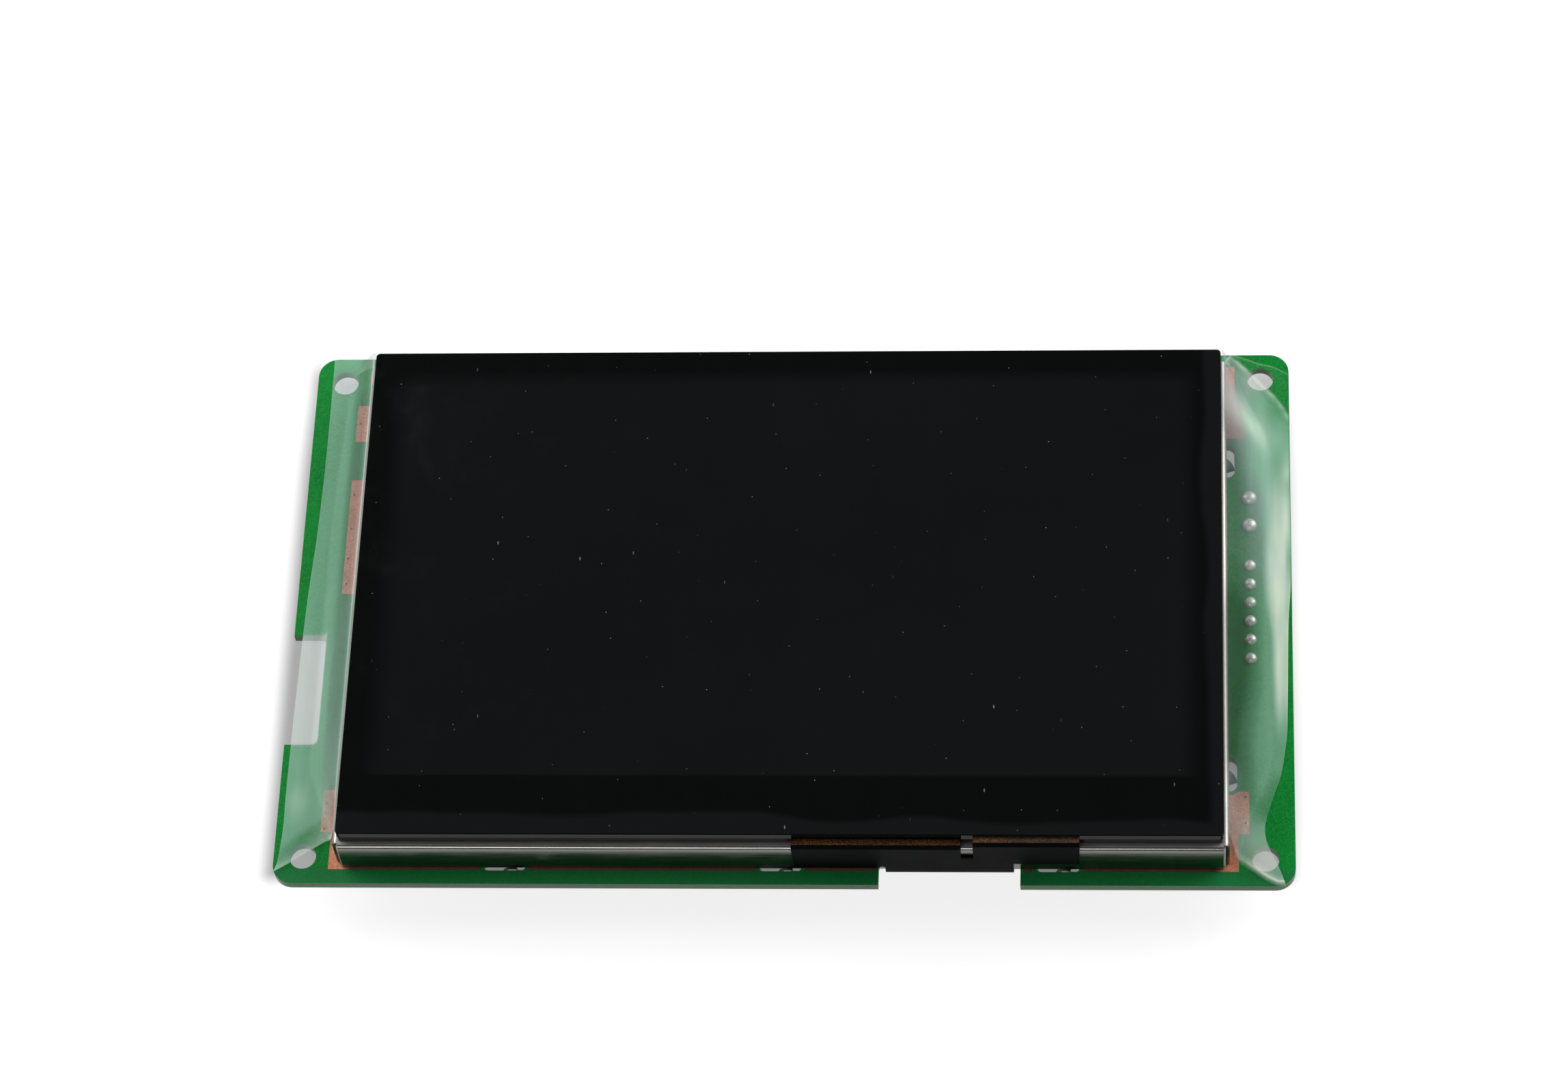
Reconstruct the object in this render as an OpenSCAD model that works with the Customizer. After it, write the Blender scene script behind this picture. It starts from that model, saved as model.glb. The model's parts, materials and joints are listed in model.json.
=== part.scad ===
// Display module: a 4.3 inch panel in a folded steel bezel, with a two-layer touch panel,
// on a carrier board. The board's rear face is z = 0, its centre is x = y = 0.
// The bezel's size drives the rest: the board, the panel and the touch panel follow it.

/* [Board] */
// Width of the board beside the bezel, left and right
board_side = 7.75; // [7:0.05:9]
// Width of the board below the bezel
board_front = 2.1; // [1.9:0.1:3]
// Width of the board above the bezel
board_back = 3.3; // [2.8:0.1:4.5]
// Thickness of the circuit board
board_t = 1.2; // [0.8:0.1:1.6]
// Radius of the board's corners
board_r = 2.4; // [0.5:0.1:3]
// Distance from each board edge to the centre of a mounting hole
hole_inset = 3.5; // [3:0.1:3.8]
// Diameter of the mounting holes
hole_d = 3.2; // [2.6:0.1:3.6]
// Length of the notch in the board's left edge
side_notch_len = 14.8; // [8:0.2:20]
// Depth of the notch in the board's left edge
side_notch_deep = 4; // [2:0.1:5]
// Place of the left notch along the board
side_notch_y = -10.5; // [-14:0.5:0]
// Width of the notch that the touch tail passes through
flex_notch_w = 16.7; // [16.2:0.1:18]
// How far that notch reaches under the bezel
flex_notch_in = 1.1; // [0.9:0.1:1.6]
// Radius in the notches' inner corners
notch_r = 0.9; // [0.3:0.1:1.2]
// Thickness of the bare copper pads under the bezel's foot
pad_t = 0.05; // [0.03:0.01:0.1]
// Width of the wide copper pads beside the bezel
pad_reach = 2.4; // [1.6:0.1:3]
// Width of the copper rim at the bezel's corners
pad_rim = 1.1; // [0.6:0.1:1.4]
// Width of the copper lip along the bezel's lower edge
pad_lip = 0.3; // [0.1:0.05:0.6]
// Width of the copper strip along the bezel's upper edge
pad_top = 1.6; // [0.8:0.1:2]

/* [Bezel] */
// Outer width of the bezel
bezel_w = 105.5; // [104:0.1:107]
// Outer depth of the bezel
bezel_d = 67.2; // [66:0.1:68]
// Thickness of the bezel's steel sheet
sheet_t = 0.3; // [0.2:0.05:0.4]
// Outer radius of the bezel's folded edges
bend_r = 0.6; // [0.45:0.05:0.8]
// Opening left between two folded walls at a corner
corner_relief = 0.7; // [0.3:0.1:1.2]
// Width of the bezel's rim at the left and right of its window
rim_side = 4; // [3:0.25:6]
// Width of the bezel's rim below its window
rim_front = 8.8; // [6:0.2:10]
// Width of the bezel's rim above its window
rim_back = 2; // [1.5:0.1:4]
// Width of a twist tab below the board
tab_w = 2.4; // [1.6:0.1:3]
// Width of a twist tab's neck in its slot
tab_neck_w = 1.1; // [0.8:0.1:1.5]
// Length of a twist tab below the board
tab_len = 1.3; // [0.8:0.1:2]
// Angle that the tabs are twisted by
tab_twist = 75; // [40:5:90]
// Distance between neighbouring tabs along the long edges
tab_pitch = 32.75; // [28:0.25:34]
// Distance between the two tabs on the right edge
side_tab_pitch = 42.8; // [36:0.2:48]
// Length of a tab's slot in the board
slot_len = 5; // [4.2:0.1:6]
// Width of the slots along the long edges, outside the bezel's wall
slot_out = 0.35; // [0.2:0.05:0.6]
// Width of the slots on the right edge, outside the bezel's wall
side_slot_out = 1; // [0.4:0.1:1.2]

/* [Panel] */
// Thickness of the reflector sheet
reflector_t = 0.2; // [0.1:0.05:0.3]
// Thickness of the light guide
guide_t = 2.3; // [1.6:0.1:3]
// Thickness of the diffuser sheet
diffuser_t = 0.2; // [0.1:0.05:0.3]
// Thickness of the prism sheet
prism_t = 0.2; // [0.1:0.05:0.3]
// Thickness of each polariser
polariser_t = 0.2; // [0.1:0.05:0.3]
// Thickness of each of the cell's two glass plates
cell_glass_t = 0.7; // [0.5:0.1:1.1]
// Depth of the ledge where the array glass stands out
ledge = 3.2; // [3:0.1:3.6]
// Thickness of the frame's outer wall
frame_wall = 0.75; // [0.5:0.05:1]
// Width of the frame's shelf that the cell lies on
shelf = 1.2; // [0.8:0.1:1.6]
// Width of the panel's flex
lcd_flex_w = 20.5; // [16:0.5:22]
// Place of the panel's flex along the board
lcd_flex_x = -15.2; // [-17:0.2:-14]
// Thickness of the flexes
flex_t = 0.1; // [0.08:0.02:0.14]
// Number of lamps on the lamp strip
led_count = 9; // [5:1:12]

/* [Touch panel] */
// Distance from the bezel's sides to the touch panel
touch_side = 0.67; // [0.2:0.01:1.5]
// Distance from the bezel's lower edge to the touch panel
touch_front = 0.83; // [0.7:0.01:1.5]
// Distance from the bezel's upper edge to the touch panel
touch_back = 0.29; // [0.1:0.01:1]
// Thickness of the foam gasket under the touch panel
gasket_t = 1.05; // [0.6:0.05:1.5]
// Width of the gasket's sides
gasket_side = 2.6; // [2:0.1:3]
// Thickness of the sensor glass
sensor_t = 0.75; // [0.5:0.05:1.1]
// Thickness of the cover sheet
cover_t = 0.35; // [0.2:0.05:0.7]
// Radius of the touch panel's corners
touch_r = 0.5; // [0.2:0.1:1]
// Left edge of the touch tail's wide part
tail_x0 = 1.65; // [0:0.05:8]
// Right edge of the touch tail's wide part
tail_x1 = 35.3; // [31:0.1:38]
// Left edge of the slit between the tail's two heads
slit_x0 = 21.45; // [19:0.05:22]
// Width of the slit between the tail's two heads
slit_w = 1.45; // [0.6:0.05:2.4]
// Width of the tail's narrow part
neck_w = 15.05; // [12:0.05:15.4]
// Inner radius of the tail's fold round the board's edge
fold_r = 2; // [1.8:0.1:2.4]
// Thickness of the tail's black cover film
film_cover_t = 0.08; // [0.05:0.01:0.12]

/* [Protective film] */
// Thickness of the clear protective film
film_t = 0.1; // [0.06:0.02:0.2]
// Width of the film's flat edge, where it lies on the board
film_flat = 2.22; // [1.5:0.02:3]

/* [Rear parts] */
// Height of the headers below the board
header_h = 7.2; // [6:0.1:9]
// Distance of the headers' pins from the board's right edge
header_inset = 5; // [4.6:0.1:5.6]
// Pitch of the two-way power header
power_pitch = 3.81; // [3.5:0.01:5.08]
// Place of the power header along the board
power_y = 14; // [12:0.5:17]
// Pitch of the six-way signal header
signal_pitch = 2.54; // [2:0.01:2.54]
// Number of ways of the signal header
signal_ways = 6; // [3:1:6]
// Place of the signal header along the board
signal_y = 0.15; // [-3:0.05:1]
// Pitch of the dual-row cable header
cable_pitch = 2; // [1.5:0.1:2.54]
// Number of pins in each row of the cable header
cable_ways = 5; // [3:1:8]
// Distance of the cable header's centre from the board's left edge
cable_inset = 14; // [12:0.5:20]
// Height of the flex sockets below the board
socket_h = 1.5; // [1.3:0.1:2]
// Side of the controller's body
chip_w = 10; // [7:0.5:14]
// Number of leads on each side of the controller
lead_count = 16; // [8:1:20]

/* [Hidden] */
$fn = 36;
eps = 0.01;

board_w = bezel_w + 2 * board_side;
board_d = bezel_d + board_front + board_back;
bezel_y = (board_front - board_back) / 2;

// Heights, from the board up
board_top = board_t;
foot_z = board_top + pad_t;
film_gap = 0.1;     // air under the rear polariser
top_gap = 0.05;     // air over the front polariser
guide_z = board_top + reflector_t;
diffuser_z = guide_z + guide_t;
prism_z = diffuser_z + diffuser_t;
cell_z = prism_z + prism_t + film_gap + polariser_t;
filter_z = cell_z + cell_glass_t;
front_polariser_z = filter_z + cell_glass_t;
bezel_under = front_polariser_z + polariser_t + top_gap;
bezel_top = bezel_under + sheet_t;
sensor_z = bezel_top + gasket_t;
cover_z = sensor_z + sensor_t;
cover_top = cover_z + cover_t;

// The bezel's faces
bezel_x1 = bezel_w / 2;
bezel_y0 = bezel_y - bezel_d / 2;
bezel_y1 = bezel_y + bezel_d / 2;
slot_in = 0.75;          // width of a slot inside the wall's outer face
side_slot_less = 0.5;    // the slots on the right edge are shorter by this much
side_slot_y = 0.3;       // their middle, from the bezel's middle
tab_shift = 0.9;         // the tabs on the long edges sit off their slots' middle
window_r = 0.6;          // radius in the window's corners
window_w = bezel_w - 2 * rim_side;
window_d = bezel_d - rim_front - rim_back;
window_y = (rim_front - rim_back) / 2;
lap = 0.3;               // pieces of one sheet run into each other by this much

// The panel's parts, from the outside in
frame_gap = 0.15;
frame_w = bezel_w - 2 * (sheet_t + frame_gap);
frame_d = bezel_d - 2 * (sheet_t + frame_gap);
pocket_w = frame_w - 2 * frame_wall;
pocket_d = frame_d - 2 * frame_wall;
cell_gap = 0.15;
cell_w = pocket_w - 2 * cell_gap;
cell_d = pocket_d - 2 * cell_gap;
opening_w = pocket_w - 2 * shelf;
opening_d = pocket_d - 2 * shelf;
sheet_gap = 0.2;
lamp_t = 1.2;        // depth of a lamp
lamp_w = 3;
strip_t = 0.3;       // thickness of the lamp strip
guide_d = opening_d - 2 * sheet_gap - lamp_t - strip_t - sheet_gap;

// The panel's flex: over the ledge, down inside the bezel and out through the board
lcd_bend_r = 0.4;
lcd_bond = 1.2;
lcd_wall_gap = 0.3;                        // from the bezel's wall to the flex
lcd_out_y = bezel_y0 + sheet_t + lcd_wall_gap;
lcd_fold_r = 1;
lcd_fold_z = 0.4;                          // where the flex starts to turn under the board
lcd_slot_d = 0.9;
lcd_slot_out = 0.3;                        // room for the flex on the slot's outer side
lcd_slot_gap = 0.75;

// The touch tail, from the panel's edge round the board's edge to its socket
touch_w = bezel_w - 2 * touch_side;
touch_d = bezel_d - touch_front - touch_back;
touch_y0 = bezel_y0 + touch_front;
touch_yc = touch_y0 + touch_d / 2;
flex_notch_deep = board_front + flex_notch_in;
tail_gap = 0.2;                            // from the bezel's wall to the tail
tail_y = bezel_y0 - tail_gap - flex_t;     // outer face of the tail's upright stretch
tail_bend_r = 0.35;
tail_bond = 1.6;
flex_notch_x = 19.95;                      // middle of the notch that the tail passes through
hem_relief_r = 0.35;                       // rounded relief where the narrow part begins
slit_z = board_top + 3.5;
left_hem_z = board_top + 1.05;
right_hem_z = board_top + 2.2;
neck_x0 = flex_notch_x + 0.05 - neck_w / 2;
neck_x1 = neck_x0 + neck_w;
fold_z = board_top + 0.41;                 // where the tail starts to turn under the board
tail_z = fold_z - fold_r;                  // upper face of the tail's run under the board

// Rear parts
pin_x = board_w / 2 - header_inset;
power_hole_d = 1.6;
signal_hole_d = 1;
power_dome_r = 0.92;
signal_dome_r = 0.75;
pin_w = 0.64;
power_pin_w = 1;
pin_tip = 0.3;                             // pin ends stand out of the board by this much
cable_x = -board_w / 2 + cable_inset;
cable_y = 4;
socket_d = 5;
flex_in = 2.4;       // how far a flex goes into its socket
socket_reach = 12;   // from the bezel's lower edge to the sockets' middle
touch_socket_y = bezel_y0 + socket_reach;
lcd_socket_y = bezel_y0 + socket_reach;
chip_x = -4;
chip_y = 6;

// Offsets of n things at a pitch, centred on nought
function row(n, pitch) = [for (i = [0 : n - 1]) (i - (n - 1) / 2) * pitch];

// ---------- shapes used by several parts ----------

module rounded_rect(w, d, r) {
    square([w - 2 * r, d], center = true);
    square([w, d - 2 * r], center = true);
    for (x = [-1, 1], y = [-1, 1])
        translate([x * (w / 2 - r), y * (d / 2 - r)]) circle(r);
}

// A slot with round ends, long along X
module stadium(l, w) {
    square([l - w, w], center = true);
    for (x = [-1, 1]) translate([x * (l - w) / 2, 0]) circle(w / 2);
}

module plate(w, d, t) {
    linear_extrude(t) square([w, d], center = true);
}

// Sweeps a profile drawn in Y and Z along X, from x0 to x1
module along_x(x0, x1) {
    translate([x0, 0, 0]) rotate([90, 0, 90]) linear_extrude(x1 - x0) children();
}

// One quarter of a ring, in the quadrant that qx and qy point to
module ring_quarter(r_out, r_in, qx, qy) {
    intersection() {
        difference() {
            circle(r_out);
            circle(r_in);
        }
        translate([qx < 0 ? -r_out : 0, qy < 0 ? -r_out : 0]) square(r_out);
    }
}

// ---------- the board ----------

// Places of the tab slots: centre, turn, width outside the wall
module at_long_edge_slots() {
    for (x = row(3, tab_pitch), side = [0, 1])
        translate([x, side == 0 ? bezel_y0 : bezel_y1, 0]) mirror([0, side, 0]) children();
}

module at_right_edge_slots() {
    for (y = row(2, side_tab_pitch))
        translate([bezel_x1, bezel_y + side_slot_y + y, 0]) rotate(90) children();
}

module tab_slots(grow = 0) {
    at_long_edge_slots()
        translate([0, (slot_in - slot_out) / 2])
            stadium(slot_len + 2 * grow, slot_in + slot_out + 2 * grow);
    at_right_edge_slots()
        translate([0, (slot_in - side_slot_out) / 2])
            stadium(slot_len - side_slot_less + 2 * grow, slot_in + side_slot_out + 2 * grow);
}

module pin_holes() {
    for (y = row(2, power_pitch)) translate([pin_x, power_y + y]) circle(d = power_hole_d);
    for (y = row(signal_ways, signal_pitch))
        translate([pin_x, signal_y + y]) circle(d = signal_hole_d);
}

module notches(grow = 0) {
    translate([-board_w / 2, side_notch_y])
        rounded_rect(2 * side_notch_deep + 2 * grow, side_notch_len + 2 * grow, notch_r);
    translate([flex_notch_x, -board_d / 2])
        rounded_rect(flex_notch_w + 2 * grow, 2 * flex_notch_deep + 2 * grow, notch_r);
}

module lcd_slot() {
    translate([lcd_flex_x, lcd_out_y - lcd_slot_out + lcd_slot_d / 2])
        stadium(lcd_flex_w + 2 * lcd_slot_gap, lcd_slot_d);
}

module board() {
    color("seagreen")
    linear_extrude(board_t)
    difference() {
        rounded_rect(board_w, board_d, board_r);
        for (x = [-1, 1], y = [-1, 1])
            translate([x * (board_w / 2 - hole_inset), y * (board_d / 2 - hole_inset)])
                circle(d = hole_d);
        notches();
        tab_slots();
        pin_holes();
        lcd_slot();
    }
}

// The copper reaches this far under the bezel's wall, short of the frame inside it
pad_under = sheet_t + frame_gap - 0.05;

// Ends of the wide pads beside the bezel, as distances from its lower or upper corner
low_pad = [4.6, 10.2];
top_pad = [3.5, 8.7];
middle_pad = [3.3, 19.4];    // the long pad on the left, from the bezel's middle
slot_clear = 0.5;        // board left bare round a slot
notch_clear = 0.4;       // board left bare round a notch

// A copper pad beside the bezel, from y0 to y1, standing out by reach
module side_pad(side, y0, y1, reach) {
    mirror([side < 0 ? 1 : 0, 0])
        translate([bezel_x1 - pad_under, y0]) square([reach + pad_under, y1 - y0]);
}

module contact_pads() {
    rim_w = bezel_w + 2 * pad_rim;
    color("peru")
    translate([0, 0, board_top])
    linear_extrude(pad_t)
    difference() {
        union() {
            for (side = [-1, 1]) {
                side_pad(side, bezel_y1 - top_pad[1], bezel_y1 - top_pad[0], pad_reach);
                side_pad(side, bezel_y0 + low_pad[0], bezel_y0 + low_pad[1], pad_reach);
                side_pad(side, bezel_y0, bezel_y0 + low_pad[0], pad_rim);
            }
            side_pad(-1, bezel_y + middle_pad[0], bezel_y + middle_pad[1], pad_reach);
            side_pad(1, bezel_y1 - top_pad[0], bezel_y1, pad_rim);
            translate([-rim_w / 2, bezel_y0 - pad_lip]) square([rim_w, pad_lip + pad_under]);
            translate([-rim_w / 2, bezel_y1 - pad_under]) square([rim_w, pad_top + pad_under]);
        }
        tab_slots(slot_clear);
        notches(notch_clear);
    }
}

// ---------- the bezel ----------

// The wall and fold of one side, with its outer face at y = 0 and the inside towards +Y
module bezel_side(len) {
    along_x(-len / 2, len / 2) {
        translate([0, foot_z]) square([sheet_t, bezel_top - bend_r - foot_z]);
        translate([bend_r, bezel_top - bend_r]) ring_quarter(bend_r, bend_r - sheet_t, -1, 1);
        translate([bend_r, bezel_under]) square([lap, sheet_t]);
    }
}

tab_play = 0.1;      // from the board's rear face to the twisted head

// A tab: a neck through the board and a head that is twisted below it
module twist_tab() {
    translate([-tab_neck_w / 2, 0, -tab_play])
        cube([tab_neck_w, sheet_t, foot_z + tab_play + lap]);
    translate([0, sheet_t / 2, -tab_play])
        rotate([180, 0, 0])
            linear_extrude(tab_len, twist = -tab_twist, slices = 6, segments = 4)
                square([tab_w, sheet_t], center = true);
}

module bezel() {
    color("silver") {
        translate([0, bezel_y, bezel_under])
            linear_extrude(sheet_t)
                difference() {
                    square([bezel_w - 2 * bend_r, bezel_d - 2 * bend_r], center = true);
                    translate([0, window_y]) rounded_rect(window_w, window_d, window_r);
                }
        for (side = [0 : 3]) {
            across = side % 2 == 0 ? bezel_d : bezel_w;
            along = side % 2 == 0 ? bezel_w : bezel_d;
            translate([0, bezel_y, 0])
                rotate(90 * side)
                    translate([0, -across / 2, 0]) bezel_side(along - 2 * corner_relief);
        }
        at_long_edge_slots() translate([tab_shift, 0, 0]) twist_tab();
        at_right_edge_slots() twist_tab();
    }
}

// ---------- the panel ----------

flex_way = 1.2;      // depth of the way down through the frame for the panel's flex

module backlight_frame() {
    h = bezel_under - board_top;
    step = bend_r - sheet_t;      // the frame's upper rim stays clear of the bezel's fold
    color("whitesmoke")
    difference() {
        union() {
            translate([0, bezel_y, board_top]) plate(frame_w, frame_d, h - step);
            translate([0, bezel_y, board_top]) plate(frame_w - 2 * step, frame_d - 2 * step, h);
        }
        translate([0, bezel_y, board_top - eps]) plate(opening_w, opening_d, h + 2 * eps);
        translate([0, bezel_y, cell_z]) plate(pocket_w, pocket_d, h);
        translate([lcd_flex_x, lcd_out_y, board_top - eps])
            linear_extrude(h + 2 * eps)
                square([lcd_flex_w + 2 * lcd_slot_gap, flex_way], center = true);
    }
}

// A sheet that fills the frame's opening
module opening_sheet(z, t) {
    translate([0, bezel_y, z]) plate(opening_w - 2 * sheet_gap, opening_d - 2 * sheet_gap, t);
}

module reflector_sheet() {
    color("white") opening_sheet(board_top, reflector_t);
}

module light_guide() {
    color("lightcyan")
        translate([0, bezel_y + opening_d / 2 - sheet_gap - guide_d / 2, guide_z])
            plate(opening_w - 2 * sheet_gap, guide_d, guide_t);
}

module diffuser_sheet() {
    color("white") opening_sheet(diffuser_z, diffuser_t);
}

module prism_sheet() {
    color("gainsboro") opening_sheet(prism_z, prism_t);
}

strip_y = bezel_y - opening_d / 2 + sheet_gap;
strip_end = 2;       // the lamp strip ends inside the opening by this much, at each end
strip_w = opening_w - 2 * strip_end;
lamp_row_w = strip_w - 2 * strip_end;
lamp_inset = 0.1;    // the lamps are a little lower than their strip at both edges

module lamp_strip() {
    color("khaki")
        translate([-strip_w / 2, strip_y, guide_z])
            cube([strip_w, strip_t, guide_t]);
}

module lamps() {
    color("lemonchiffon")
        for (x = row(led_count, lamp_row_w / led_count))
            translate([x - lamp_w / 2, strip_y + strip_t, guide_z + lamp_inset])
                cube([lamp_w, lamp_t, guide_t - 2 * lamp_inset]);
}

rear_inset = 0.4;    // from the opening's edge to the rear polariser
front_inset = 0.8;   // from the filter glass's edge to the front polariser

module rear_polariser() {
    color("dimgray")
        translate([0, bezel_y, cell_z - polariser_t])
            plate(opening_w - 2 * rear_inset, opening_d - 2 * rear_inset, polariser_t);
}

module array_glass() {
    color("lightblue") translate([0, bezel_y, cell_z]) plate(cell_w, cell_d, cell_glass_t);
}

module filter_glass() {
    color("lightblue")
        translate([0, bezel_y + ledge / 2, filter_z]) plate(cell_w, cell_d - ledge, cell_glass_t);
}

module front_polariser() {
    color("#202226")
        translate([0, bezel_y + ledge / 2, front_polariser_z])
            plate(cell_w - 2 * front_inset, cell_d - ledge - 2 * front_inset, polariser_t);
}

cell_y0 = bezel_y - cell_d / 2;

driver_size = [18, 1, 0.4];
driver_gap = 0.3;    // from the flex's bond to the driver chip

module driver_chip() {
    color("#303030")
        translate([lcd_flex_x - driver_size.x / 2, cell_y0 + lcd_bond + driver_gap, filter_z])
            cube(driver_size);
}

module lcd_flex() {
    x0 = lcd_flex_x - lcd_flex_w / 2;
    bend_y = lcd_out_y + lcd_bend_r;
    bend_z = filter_z + flex_t - lcd_bend_r;
    fold_y = lcd_out_y + lcd_fold_r;
    run_z = lcd_fold_z - lcd_fold_r;
    color("darkgoldenrod")
    along_x(x0, x0 + lcd_flex_w) {
        // on the glass ledge
        translate([bend_y, filter_z]) square([cell_y0 + lcd_bond - bend_y, flex_t]);
        translate([bend_y, bend_z]) ring_quarter(lcd_bend_r, lcd_bend_r - flex_t, -1, 1);
        // down through the slot in the board
        translate([lcd_out_y, lcd_fold_z]) square([flex_t, bend_z - lcd_fold_z]);
        translate([fold_y, lcd_fold_z]) ring_quarter(lcd_fold_r, lcd_fold_r - flex_t, -1, -1);
        // under the board, into the socket
        translate([fold_y, run_z]) square([lcd_socket_y - socket_d / 2 + flex_in - fold_y, flex_t]);
    }
}

// ---------- the touch panel ----------

gasket_inset = 0.2;      // from the touch panel's edge to the gasket
gasket_low_extra = 3.4;  // the gasket is wider by this much under the tail
gasket_top = 1.6;        // width of the gasket at the upper edge
tail_clear = 0.4;        // room round the tail's bond, into the gasket
tail_side_clear = 0.5;

// The gasket's inner outline
module gasket_window() {
    top = touch_yc + touch_d / 2 - gasket_top;
    low = touch_y0 + gasket_side + gasket_low_extra;
    translate([-touch_w / 2 + gasket_side, low]) square([touch_w - 2 * gasket_side, top - low]);
}

module touch_gasket() {
    color("#181818")
    translate([0, 0, bezel_top])
    linear_extrude(gasket_t)
    difference() {
        translate([0, touch_yc])
            square([touch_w - 2 * gasket_inset, touch_d - 2 * gasket_inset], center = true);
        gasket_window();
        // room for the tail's bond
        translate([tail_x0 - tail_side_clear, touch_y0 - 1])
            square([tail_x1 - tail_x0 + 2 * tail_side_clear, tail_bond + tail_clear + 1]);
    }
}

module touch_plate(t) {
    translate([0, touch_yc, 0]) linear_extrude(t) rounded_rect(touch_w, touch_d, touch_r);
}

module touch_sensor() {
    color("#101214") translate([0, 0, sensor_z]) touch_plate(sensor_t);
}

module touch_cover() {
    color("#0c0d0f") translate([0, 0, cover_z]) touch_plate(cover_t);
}

// Profile of a tail head: the bend at a level and the upright stretch down to the slit's end.
// With a skin it is the profile of a film of that thickness on the outer side.
module head_profile(level, skin) {
    t = skin > 0 ? skin : flex_t;
    r = tail_bend_r + skin;
    out = tail_y - skin;
    bend_z = level + flex_t + skin - r;
    translate([out + r, bend_z]) ring_quarter(r, r - t, -1, 1);
    translate([out, slit_z]) square([t, bend_z - slit_z]);
}

left_level = sensor_z - flex_t;
right_level = cover_z - flex_t;

// The upright stretch below the slit, and the two hems
module tail_upright(y, t) {
    translate([0, y + t, 0]) rotate([90, 0, 0]) linear_extrude(t)
    difference() {
        union() {
            translate([tail_x0, left_hem_z])
                square([neck_x1 - tail_x0, slit_z - left_hem_z]);
            translate([neck_x0, right_hem_z])
                square([tail_x1 - neck_x0, slit_z - right_hem_z]);
            translate([neck_x0, fold_z]) square([neck_w, slit_z - fold_z]);
        }
        translate([neck_x0 - hem_relief_r, left_hem_z]) circle(hem_relief_r, $fn = 24);
    }
}

module tail_fold(skin) {
    t = skin > 0 ? skin : flex_t;
    r = fold_r + flex_t + skin;
    along_x(neck_x0, neck_x1)
        translate([tail_y - skin + r, fold_z])
            ring_quarter(r, r - t, -1, -1);
}

tail_run_y = tail_y + fold_r + flex_t;
tail_end_y = touch_socket_y - socket_d / 2 + flex_in;
bare_end = 5;            // length of the tail's end that the cover film leaves bare

module touch_flex() {
    color("darkgoldenrod") {
        tail_upright(tail_y, flex_t);
        along_x(tail_x0, slit_x0) head_profile(left_level, 0);
        along_x(slit_x0 + slit_w, tail_x1) head_profile(right_level, 0);
        // bonds on the panel
        translate([tail_x0, tail_y + tail_bend_r, left_level])
            cube([slit_x0 - tail_x0, touch_y0 + tail_bond - tail_y - tail_bend_r, flex_t]);
        translate([slit_x0 + slit_w, tail_y + tail_bend_r, right_level])
            cube([tail_x1 - slit_x0 - slit_w, touch_y0 - tail_y - tail_bend_r, flex_t]);
        tail_fold(0);
        translate([neck_x0, tail_run_y, tail_z - flex_t])
            cube([neck_w, tail_end_y - tail_run_y, flex_t]);
    }
}

module touch_flex_cover() {
    s = film_cover_t;
    color("#141414") {
        tail_upright(tail_y - s, s);
        along_x(tail_x0, slit_x0) head_profile(left_level, s);
        along_x(slit_x0 + slit_w, tail_x1) head_profile(right_level, s);
        tail_fold(s);
        translate([neck_x0, tail_run_y, tail_z - flex_t - s])
            cube([neck_w, tail_end_y - bare_end - tail_run_y, s]);
    }
}

// ---------- the protective film ----------

low_z = board_top + pad_t + 0.07;      // underside of the film's wings, clear of the copper

// Height of the film's underside at a distance past the touch panel's edge
function film_height(s) =
    s <= 0 ? cover_top
    : s >= film_slope ? low_z
    : low_z + (cover_top - low_z) * (1 + cos(180 * s / film_slope)) / 2;

film_reach = (board_w - touch_w) / 2 - 0.1;
film_slope = (board_w - touch_w) / 2 - film_flat;

module film_section() {
    steps = 12;
    half = touch_w / 2;
    s = [for (i = [0 : steps]) film_slope * i / steps];
    right = [for (v = s) [half + v, film_height(v)]];
    left = [for (i = [steps : -1 : 0]) [-half - s[i], film_height(s[i])]];
    under = concat([[-half - film_reach, low_z]], left, right, [[half + film_reach, low_z]]);
    over = [for (i = [len(under) - 1 : -1 : 0]) under[i] + [0, film_t]];
    polygon(concat(under, over));
}

// Plan outline of the film, which lies a little askew. Each point beside the board's edges has its
// distance in from the edge, as a share of the board's side, and its place along the board, as a
// share of the board's half depth.
left_edge = [[0.03, -0.94], [0.09, -0.69], [0.13, -0.25], [0.22, 0.28], [0.23, 0.99]];
right_edge = [[0, 0.733], [0, 0.05], [0.1, -0.424], [0.21, -0.61], [0.355, -0.7], [0.45, -0.782],
    [0.41, -0.854], [0.23, -0.953], [0.17, -0.992]];
film_past = 0.7;     // the film's straight edges lie past the touch panel by this much

module film_plan() {
    b = board_w / 2;
    d = board_d / 2;
    polygon(concat(
        [for (p = left_edge) [p[0] * board_side - b, p[1] * d]],
        [[-bezel_x1 + 0.6, bezel_y1], [bezel_x1 - 0.5, bezel_y1 - 0.4]],
        [for (p = right_edge) [b - p[0] * board_side, p[1] * d]],
        [[bezel_x1, bezel_y0 + film_past - 0.1], [-bezel_x1, bezel_y0 + film_past]]));
}

module protective_film() {
    color("lightsteelblue", 0.4)
    intersection() {
        translate([0, board_d / 2, 0]) rotate([90, 0, 0]) linear_extrude(board_d) film_section();
        linear_extrude(cover_top + 1) film_plan();
    }
}

// ---------- headers and their solder joints ----------

// A dome of solder with room for the pin's tip
module solder_dome(r, h, pin) {
    ball = (r * r + h * h) / (2 * h);
    difference() {
        intersection() {
            translate([0, 0, h - ball]) sphere(ball, $fn = 20);
            translate([-r, -r, 0]) cube([2 * r, 2 * r, h]);
        }
        translate([0, 0, -eps]) linear_extrude(pin_tip + eps) square(pin, center = true);
    }
}

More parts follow.
